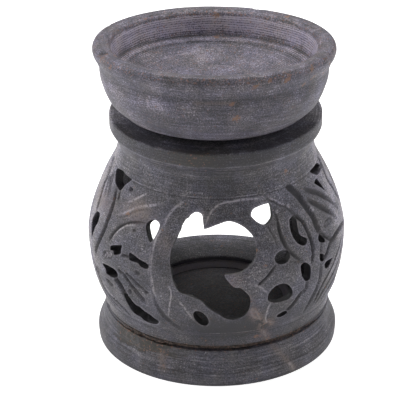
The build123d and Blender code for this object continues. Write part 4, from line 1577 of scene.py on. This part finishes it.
    def cutter(self, opening: Opening, index: int) -> tuple[Array, list[Array]]:
        """Prism that cuts an opening, with slightly uneven sides.

        A place on the wall is the wall radius times the sine of its azimuth from the aim,
        sideways, and times the cosine, in depth. Each place runs inwards along the aim and
        falls by the slope. Below the surface the section swells and shrinks a little.

        Args:
            opening: The opening.
            index: Seeds the unevenness.

        Returns:
            Vertices in mm and their faces.
        """
        path = self.opening_path(opening)
        middle = (path[:, 0].min() + path[:, 0].max()) / 2
        aim = middle if opening.aim is None else opening.aim
        turned = np.radians(path[:, 0] - aim)
        radius = self.wall_radius(path[:, 1])
        side, depth = radius * np.sin(turned), radius * np.cos(turned)
        section = np.stack([side, path[:, 1]], axis=1)
        if self._area(section) < 0:
            section, depth = section[::-1], depth[::-1]
        centre = section.mean(axis=0)
        turn = math.radians(aim)
        outward = np.array([math.sin(turn), -math.cos(turn), 0.0])
        across = np.array([math.cos(turn), math.sin(turn), 0.0])
        up = np.array([0.0, 0.0, 1.0])
        levels = (depth.max() + 4.0, depth - 0.9, depth - 3.8, float(depth.mean()) - 15.0)
        noise = Roughness(self.cutter_cell, self.cutter_seed + index)
        rings = []
        for number, level in enumerate(levels):
            rough = noise.at(section[:, 0], section[:, 1], 7.0 * number)
            scale = 1.0 + (0.05 * rough[:, None] if number > 1 else 0.0)
            shape = centre + (section - centre) * scale
            height = shape[:, 1] - opening.slope * (depth - level)
            inwards = np.broadcast_to(level, depth.shape)[:, None]
            rings.append(shape[:, :1] * across + inwards * outward + height[:, None] * up)
        return prism(rings)

    @staticmethod
    def _area(section: Array) -> float:
        """Signed area of a closed outline: half the sum of its cross products."""
        ahead = np.roll(section, -1, axis=0)
        return float(np.sum(section[:, 0] * ahead[:, 1] - section[:, 1] * ahead[:, 0]) / 2)

    def doorway(self) -> tuple[Array, list[Array]]:
        """Arched prism that cuts the doorway: straight jambs under a half circle."""
        half = self.door_half_width
        turn = np.linspace(0.0, np.pi, 41)
        arch = [half * np.cos(turn), self.chamber_floor + self.door_spring + half * np.sin(turn)]
        feet = np.array([(-half, self.chamber_floor), (half, self.chamber_floor)])
        section = np.vstack([np.stack(arch, axis=1), feet])
        depths = (self.throat_radius, self.belly_radius + 5.0)
        return prism([np.insert(section, 1, depth, axis=1) for depth in depths])

    def build(self, stone: bpy.types.Material) -> bpy.types.Object:
        """Builds the carved blank, cuts its openings and lays its masks.

        Args:
            stone: Its material.

        Returns:
            The piece.
        """
        turning = Turning(self.outline(), self.columns, closed=True, front_density=self.crowding)
        piece = turning.build("pierced_pot", self.offsets(turning))
        cutters = [self.cutter(opening, index) for index, opening in enumerate(self.openings())]
        for index, (vertices, faces) in enumerate([*cutters, self.doorway()]):
            self._cut(piece, mesh_piece(f"cutter_{index}", vertices, faces))
        smooth_with_edges(piece)
        self.dress(piece)
        piece.data.materials.clear()
        piece.data.materials.append(stone)
        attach(piece, Body.STAND.value)
        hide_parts("burner_body")
        return piece

    @staticmethod
    def _cut(piece: bpy.types.Object, cutter: bpy.types.Object) -> None:
        """Cuts a closed shape out of a piece and deletes the cutter.

        Args:
            piece: The piece, whose mesh is replaced.
            cutter: The closed shape.
        """
        tool = piece.modifiers.new("opening", "BOOLEAN")
        tool.operation = "DIFFERENCE"
        tool.solver = "MANIFOLD"
        tool.object = cutter
        graph = bpy.context.evaluated_depsgraph_get()
        result = bpy.data.meshes.new_from_object(piece.evaluated_get(graph))
        piece.modifiers.clear()
        before = piece.data
        piece.data = result
        bpy.data.meshes.remove(before)
        bpy.data.objects.remove(cutter)

    def dress(self, piece: bpy.types.Object) -> None:
        """Lays painted shade in the carving, the openings' cut walls, the chamber, the seat and under the
        dish, painted light on the sides and on the collar's top at the front, the dust on edges, the stains
        and the warm tinges on the cut mesh.

        Args:
            piece: The pot.
        """
        x, y, z, radius, azimuth = turned_places(piece)
        away = np.abs(azimuth)
        wall = self.wall_radius(z)
        outside = self.outer(radius, z)
        _, shade, dust = self.carving(azimuth, wall, z)
        band = self.banded(z) * outside
        sunk = wall - radius
        hollow = sunk > 1.9
        cut_wall = outside & (sunk > 0.75) & (shade < 0.3) & (band > 0.5)
        inside = hollow & (z > self.chamber_floor + 0.1) & (z < self.throat_z)
        floor = hollow & (z < self.chamber_floor + 0.1) & (z > self.bottom)
        seat = (z > self.throat_z) & (radius < self.collar_radius - 0.8)
        top = z > self.top - 0.25
        coarse, fine = (noise.at(x, y, z) for noise in self.ragged)
        ragged = coarse + 0.5 * fine
        vein = np.min([path_distance(azimuth, z, wall, np.array(path))[0] for path in self.veins], axis=0)
        tab_x, tab_y, tab_z = self.tab
        tab = fading(np.hypot(np.hypot(x - tab_x, y - tab_y), z - tab_z), 2.8)
        left = patches(azimuth, z, self.warm_patches)
        quiet = patches(azimuth, z, self.quiet_patches)
        orange = stroke_bells(azimuth, z, wall, self.spots, (1.0, 0.0))
        collar = bump_at(azimuth, -14.0, 15.0) * eased(z, self.collar_z - 1.4, self.collar_z - 0.4)
        collar = collar * eased(radius, self.neck_radius, self.neck_radius + 1.0)
        low = bump_at(z, self.bottom, 1.0) * outside * (away < 62.0)
        dusty = bump_at(azimuth, -52.0, 26.0) + 0.7 * bump_at(azimuth, 78.0, 22.0)
        # Painted light on the sides.
        painted_side_light = eased(away, 60.0, 82.0) * (1.0 - 0.75 * eased(away, 98.0, 130.0))
        # Painted shadow of the dish on the collar's upper part, most at the front and less on its top.
        painted_dish_shadow = (0.32 - 0.1 * top + 0.12 * fading(azimuth, 38.0)) * outside
        rust = 0.26 + 0.9 * orange + 0.2 * collar + 0.25 * low + 0.15 * left + 0.25 * fading(vein, 1.6)
        paint(
            piece,
            # Painted shade in the grooves, the openings' cut walls, the chamber and its floor, the seat, and
            # under the dish; darker also in patches on the front and near the lip at the front.
            carve=shade * band + 0.7 * cut_wall + 0.45 * inside + 0.2 * seat + 0.26 * quiet * outside
            + 0.2 * low + painted_dish_shadow * eased(z, self.collar_z - 1.2, self.collar_z - 0.2) + 0.16 * floor,
            dust=dust * band * ~cut_wall + 0.65 * fading(vein, 0.38) * (ragged > -0.2) * outside,
            warm=(0.7 * fading(vein, 1.3) * (ragged > -0.4) + 0.7 * left) * outside + 0.9 * tab,
            stain=(0.7 * collar + 0.35 * low) * outside + 0.2 * inside,
            flecked=rust * outside + 0.4 * tab,
            # Painted light on the sides and on the collar's top at the front, under the dish; the tab is
            # paler, and a little paleness at the front left and right.
            bright=(0.05 * dusty * band + 0.62 * painted_side_light) * outside + 0.42 * top * fading(azimuth, 40.0)
            + 0.45 * tab,
            turned=0.5 * outside * (1.0 - band) + floor,
        )


@dataclass
class Dish:
    """Loose dish with a beaded rim, tipped in its ball seat. Depths run down from its rim plane."""

    ball_radius: float = 60.0
    ball_z: float = 131.19
    height: float = 26.6
    flat_radius: float = 14.0
    heel_radius: float = 27.0
    bowl_radius: float = 34.6
    bead_radius: float = 36.6
    bead_height: float = 7.0
    rim_inner: float = 30.6
    rim_round: float = 2.8
    rim_shoulder: tuple[float, float] = (31.5, 0.75)
    cove_radius: float = 30.0
    cove_depth: float = 7.3
    nick: tuple[float, float] = (0.2, 0.5)
    ledge: tuple[float, float] = (2.8, 1.5)
    step: tuple[float, float] = (3.0, 1.8)
    chip_place: tuple[float, float] = (-31.1, -15.6)
    floor_depth: float = 14.5
    tip: float = 4.85
    tip_turn: float = 6.0
    columns: int = 400
    crowding: float = 0.3
    heel_shares: tuple = ((0.841, 0.756), (0.905, 0.677), (0.945, 0.583), (0.971, 0.489), (0.991, 0.395))
    bead_shares: tuple = ((0.45, 0.72), (0.82, 0.54), (1.0, 0.3), (0.85, 0.13), (0.45, 0.02))
    under_rim: tuple = ((-4.0, -8.2), (14.0, -8.1))
    crumbs: tuple = (
        (16.0, -13.5, 0.75), (14.0, -8.8, 0.55), (24.0, -3.4, 0.6), (40.0, -3.0, 0.7), (56.0, -1.5, 0.55),
        (59.0, -5.0, 0.55), (53.0, -6.4, 0.45), (73.0, -3.5, 0.5), (71.0, -5.7, 0.45), (-60.0, -1.4, 0.35),
        (-51.0, -2.6, 0.35), (31.0, -2.2, 0.35),
    )
    bowl_crumbs: tuple = (
        (-2.4, 31.0, 1.8), (-2.2, 28.8, 8.0), (20.0, 26.4, 0.0), (16.3, -7.0, 13.6), (-19.0, 10.0, 12.0),
    )
    uneven: Roughness = Roughness(8.0, 31)
    tool_rings: Roughness = Roughness(0.9, 33)
    chips: Roughness = Roughness(2.4, 35)
    specks: Roughness = Roughness(0.9, 82)

    def __post_init__(self) -> None:
        """Works out how far the rim plane lies below the ball's centre."""
        self.rim_drop = math.sqrt(self.ball_radius**2 - self.flat_radius**2) - self.height

    def turn(self) -> tuple[float, float, float]:
        """Turn of the dish, in radians about X, Y and Z in that order."""
        return (math.radians(-self.tip), 0.0, math.radians(-self.tip_turn))

    def place(self, radius: float, depth: float) -> tuple[float, float]:
        """Place on the section, measured from the ball's centre."""
        return (radius, -self.rim_drop - depth)

    def outline(self) -> Array:
        """Outline from the axis underneath, up the outside, over the rim and down to the axis."""
        ball_r = np.linspace(self.flat_radius, self.heel_radius, 22)
        ball = np.stack([ball_r, -np.sqrt(self.ball_radius**2 - ball_r**2)], axis=1)
        under = straight((0.0, ball[0, 1]), (self.flat_radius - 0.3, ball[0, 1]), 14)
        neck = self.place(self.bowl_radius, self.bead_height)
        side = [self.place(out * self.bowl_radius, down * self.height) for out, down in self.heel_shares]
        bowl = spaced(curve_through([tuple(ball[-1]), *side, neck]), 44)[1:]
        bead = [
            self.place(between(self.bowl_radius, self.bead_radius, out), down * self.bead_height)
            for out, down in self.bead_shares
        ]
        crest = self.place((self.rim_shoulder[0] + self.bead_radius) / 2, 0.0)
        shoulder = self.place(*self.rim_shoulder)
        lip = self.place(self.rim_inner, self.rim_round)
        rim = spaced(curve_through([neck, *bead, crest, shoulder, lip]), 38)[1:]
        cove = self.place(self.cove_radius, self.cove_depth)
        nick, ledge, edge = (
            self.place(self.cove_radius - inwards, self.cove_depth + down)
            for inwards, down in (self.nick, self.ledge, self.step)
        )
        wall = straight(lip, cove, 15)[1:]
        runs = ((cove, nick, 4), (nick, ledge, 9), (ledge, edge, 3))
        ring = [straight(start, end, count)[1:] for start, end, count in runs]
        sag = self.floor_depth - self.cove_depth - self.step[1]
        floor_r = np.linspace(edge[0], 0.0, 62)[1:]
        floor = np.stack([floor_r, edge[1] - sag * (1 - (floor_r / edge[0]) ** 2)], axis=1)
        return np.vstack([under, ball, bowl, rim, wall, *ring, floor])

    def build(self, stone: bpy.types.Material) -> bpy.types.Object:
        """Builds the dish with its tool rings and a chipped rim, and tips it.

        Args:
            stone: Its material.

        Returns:
            The piece.
        """
        turning = Turning(self.outline(), self.columns, closed=False, front_density=self.crowding)
        x, y, _, radius, height = turning.grid()
        depth = -self.rim_drop - height
        ground = (depth > self.height - 5.5) & (radius < self.heel_radius + 0.5)
        uneven = 0.06 * self.uneven.at(x, y, height) - 0.06
        rings = 0.05 * self.tool_rings.at(radius, height, 0.0)
        chips = np.clip(self.chips.at(x, y, height) - 0.52, 0.0, 1.0) * fading(depth, 1.4)
        dent = 0.8 * self.chipped(x, y) * (depth < 1.5)
        offset = np.where(ground, 0.0, uneven + rings - chips - dent)
        offset[0] = offset[-1] = 0.0
        piece = turning.build("oil_dish_stone", offset)
        smooth_with_edges(piece, 45.0)
        self.dress(piece)
        tipped = Matrix.Translation((0.0, 0.0, self.ball_z * MM)) @ Euler(self.turn()).to_matrix().to_4x4()
        piece.data.transform(tipped)
        piece.data.materials.append(stone)
        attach(piece, Body.DISH.value)
        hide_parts("oil_dish")
        return piece

    def chipped(self, x: Array, y: Array) -> Array:
        """Bell round the chip in the rim, from places seen from above."""
        distance = np.hypot(x - self.chip_place[0], y - self.chip_place[1])
        return np.minimum(2.2 * fading(distance, 0.95), 1.0)

    def dress(self, piece: bpy.types.Object) -> None:
        """Lays painted shade in the turned corners and under the bead, dust on the rim, a painted highlight
        at the foot of the bowl's wall, and painted light on the bowl, the shelf and the outside patches,
        before the dish is tipped.

        Args:
            piece: The dish.
        """
        x, y, z, radius, azimuth = turned_places(piece)
        depth = -self.rim_drop - z
        upper = depth < self.floor_depth + 0.3
        bowl = (radius < self.rim_inner + 0.4) & upper
        outer = (radius > self.flat_radius) & (depth > self.bead_height) & ~bowl
        corner = bump_at(depth, self.cove_depth + self.nick[1], 0.3) * bowl
        foot = bump_at(depth, self.cove_depth + self.step[1], 0.3) * bowl * (radius > self.cove_radius - 4.0)
        groove = bump_at(depth, self.bead_height + 0.4, 0.7) * (radius > self.cove_radius + 2)
        rim = bump_at(depth, 1.2, 2.2) * (radius > self.rim_inner - 0.6)
        step_edge = bump_at(depth, self.cove_depth - 0.1, 0.3) * bowl
        shelf = bump_at(radius, self.cove_radius - 1.6, 0.9) * (depth > self.cove_depth) * upper
        wall = (1.0 - eased(depth, 5.5, 8.0)) * eased(depth, 0.8, 2.6)
        floor = eased(depth, self.cove_depth + 1.0, self.cove_depth + 2.0)
        chip = self.chipped(x, y) * (depth < 1.5)
        below_chip = self.chipped(x - 0.9, y + 1.2) * (depth < 1.5)
        under_rim, _ = path_distance(azimuth, -depth, radius, np.array(self.under_rim))
        orange = stroke_bells(azimuth, -depth, radius, self.crumbs, (1.2, 0.6))
        bowl_orange = np.max([
            fading(np.hypot(np.hypot(x - crumb_x, y - crumb_y), depth - down), 0.85)
            for crumb_x, crumb_y, down in self.bowl_crumbs
        ], axis=0)
        # Painted light: lighter patches on the outside at the front left and on the left side.
        painted_light_patches = 0.7 * bump_at(azimuth, -22.0, 20.0) * bump_at(depth, 10.5, 3.0)
        painted_light_patches = painted_light_patches + 0.95 * bump_at(azimuth, -75.0, 25.0)
        specks = eased(self.specks.at(x, y, z), 0.4, 0.7) * eased(np.abs(azimuth), 20.0, 120.0)
        paint(
            piece,
            # Painted shade in the turned corners of the bowl and in the groove under the bead; darker also
            # in the chip.
            carve=0.4 * corner + 0.3 * foot + 0.12 * groove + chip,
            # Painted highlight: a light line at the foot of the bowl's wall.
            dust=0.6 * rim * specks * (1.0 - chip) + 0.2 * step_edge,
            warm=0.5 * fading(under_rim, 0.45) * ~bowl,
            stain=0.1 * rim,
            flecked=np.maximum(np.maximum(0.34, 0.56 * rim), 0.46 * bowl) + 0.9 * orange * ~bowl
            + 0.3 * below_chip + 0.8 * bowl_orange,
            # The bowl is paler; painted light on its wall, most at the back, on the shelf and on the rim,
            # and on the patches outside.
            bright=(0.27 + (0.62 + 0.14 * eased(y, 12.0, 28.0)) * wall) * bowl + 0.3 * shelf
            + 0.42 * painted_light_patches * outer + 0.04 * rim,
            turned=(1.0 - 0.35 * floor) * bowl * eased(depth, 1.2, 2.2) + 0.3 * outer,
        )


# The studio


@dataclass(frozen=True)
class Softbox:
    """Square lamp that faces the object: its place and side in metres, and its power in watts."""

    name: str
    place: tuple[float, float, float]
    size: float
    power: float

    def build(self) -> None:
        """Adds the lamp."""
        data = bpy.data.lights.new(self.name, "AREA")
        data.shape = "SQUARE"
        data.size = self.size
        data.energy = self.power
        lamp = bpy.data.objects.new(self.name, data)
        aim = Vector((0.0, 0.0, 0.05)) - Vector(self.place)
        turn = aim.to_track_quat("-Z", "Y").to_matrix().to_4x4()
        lamp.matrix_world = Matrix.Translation(self.place) @ turn
        bpy.context.scene.collection.objects.link(lamp)


@dataclass
class Studio:
    """Camera at the photograph's angle, pale floor and soft light."""

    camera_place: tuple[float, float, float] = (-2.578, -617.373, 351.623)
    camera_pitch: float = 26.629
    camera_roll: float = -0.5
    lens: float = 192.11
    sensor: float = 36.0
    floor_size: float = 4.0
    floor_colour: Colour = (0.8, 0.8, 0.8, 1.0)
    floor_glow: float = 0.8
    world_light: float = 0.04
    softboxes: tuple[Softbox, ...] = (
        Softbox("left softbox", (-0.62, 0.05, 0.42), 0.55, 3.75),
        Softbox("right softbox", (0.62, 0.05, 0.42), 0.55, 2.4),
        Softbox("top softbox", (0.0, 0.28, 0.8), 0.6, 3.9),
        Softbox("back softbox", (0.0, 0.7, 0.5), 0.6, 0.9),
        Softbox("front softbox", (0.0, -0.6, 0.8), 0.5, 0.2),
        Softbox("low front softbox", (0.0, -0.8, 0.26), 0.4, 0.85),
    )

    def build(self) -> None:
        """Sets up the camera, the floor, the world and the lamps."""
        scene = bpy.context.scene
        scene.view_settings.view_transform = "Standard"
        self.build_camera(scene)
        self.build_floor()
        self.build_world(scene)
        for softbox in self.softboxes:
            softbox.build()

    def build_camera(self, scene: bpy.types.Scene) -> None:
        """Adds a camera with a long lens, pitched down, and rolled a little about its own axis.

        Args:
            scene: The scene that looks through it.
        """
        data = bpy.data.cameras.new("camera")
        data.lens = self.lens
        data.sensor_width = self.sensor
        data.clip_start = 0.01
        camera = bpy.data.objects.new("camera", data)
        pitch = Matrix.Rotation(math.radians(90.0 - self.camera_pitch), 4, "X")
        roll = Matrix.Rotation(math.radians(self.camera_roll), 4, "Z")
        camera.matrix_world = Matrix.Translation(Vector(self.camera_place) * MM) @ pitch @ roll
        scene.collection.objects.link(camera)
        scene.camera = camera

    def build_floor(self) -> None:
        """Adds a pale floor that reads white to the camera and keeps the object's shadow."""
        half = self.floor_size / 2 / MM
        corners = np.array([(-half, -half, 0.0), (half, -half, 0.0), (half, half, 0.0), (-half, half, 0.0)])
        floor = mesh_piece("floor", corners, [np.array([[0, 1, 2, 3]])])
        material, graph = new_material("pale floor")
        paper = graph.add("ShaderNodeBsdfDiffuse", {"Color": self.floor_colour})
        rays = graph.add("ShaderNodeLightPath")
        seen = graph.math("MAXIMUM", rays.outputs["Is Camera Ray"], rays.outputs["Is Glossy Ray"])
        seen = graph.math("MAXIMUM", seen, rays.outputs["Is Transmission Ray"])
        glow = graph.add("ShaderNodeEmission", {"Strength": graph.math("MULTIPLY", seen, self.floor_glow)})
        both = graph.add("ShaderNodeAddShader", {0: paper.outputs[0], 1: glow.outputs[0]})
        graph.add("ShaderNodeOutputMaterial", {"Surface": both.outputs[0]})
        floor.data.materials.append(material)

    def build_world(self, scene: bpy.types.Scene) -> None:
        """Adds an even pale world that gives soft light, and reads white to the camera.

        Args:
            scene: The scene that it surrounds.
        """
        world = bpy.data.worlds.new("studio")
        world.use_nodes = True
        world.node_tree.nodes.clear()
        graph = Graph(world.node_tree)
        rays = graph.add("ShaderNodeLightPath")
        seen = graph.math("MAXIMUM", rays.outputs["Is Camera Ray"], rays.outputs["Is Transmission Ray"])
        extra = graph.math("MULTIPLY", seen, 1.0 - self.world_light)
        strength = graph.math("ADD", extra, self.world_light)
        sky = graph.add("ShaderNodeBackground", {"Color": (1.0, 1.0, 1.0, 1.0), "Strength": strength})
        graph.add("ShaderNodeOutputWorld", {"Surface": sky.outputs[0]})
        scene.world = world


def main() -> None:
    """Loads the frame, builds the studio and every piece in order, and logs each piece's size."""
    logging.basicConfig(level=logging.INFO, format="%(name)s: %(message)s")
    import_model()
    shop = Workshop()
    Studio().build()
    dish = Dish()
    lathe_finish = Soapstone(
        "turned_soapstone",
        scribes=(Scribe(7.83, 0.22, dust=0.38), Scribe(8.7, 0.2, dust=0.2), Scribe(4.4, 0.3, shade=0.2)),
    )
    carved_finish = Soapstone(
        "carved_soapstone",
        ring_strength=0.4,
        dash_strength=0.4,
        grain_strength=2.7,
        lightness=-0.02,
        scratch_strength=0.3,
        scribes=(
            Scribe(71.2, 0.35, dust=0.45), Scribe(70.1, 0.2, dust=0.34),
            Scribe(68.9, 0.22, dust=0.3, shade=0.15),
            Scribe(67.4, 0.2, dust=0.3), Scribe(61.0, 0.2, dust=0.5), Scribe(60.6, 0.22, shade=0.3),
            Scribe(18.1, 0.22, dust=0.4), Scribe(16.8, 0.22, shade=0.45), Scribe(17.2, 0.18, dust=0.25),
            Scribe(13.8, 2.4, 32.3, 0.5, shade=0.45), Scribe(13.8, 2.4, 26.7, 0.5, shade=0.2),
            Scribe(13.8, 2.4, 34.9, 0.4, shade=0.2),
        ),
    )
    dish_finish = Soapstone(
        "dish_soapstone",
        stone=(0.093, 0.0895, 0.1065, 1.0),
        pale=(0.207, 0.193, 0.236, 1.0),
        dust=(0.43, 0.395, 0.455, 1.0),
        ring_pitch=0.85,
        groove_pitch=0.8,
        groove_strength=0.55,
        ring_strength=1.0,
        dash_strength=0.45,
        grain_strength=2.8,
        axis_origin=(0.0, 0.0, dish.ball_z * MM),
        axis_turn=dish.turn(),
    )
    pieces = [
        Foot().build(lathe_finish.material(shop)),
        CementBed().build(Cement().material(shop)),
        Pot().build(carved_finish.material(shop)),
        dish.build(dish_finish.material(shop)),
    ]
    for piece in pieces:
        log.info("%s: %d vertices, %d faces", piece.name, len(piece.data.vertices), len(piece.data.polygons))


if __name__ == "__main__":
    main()
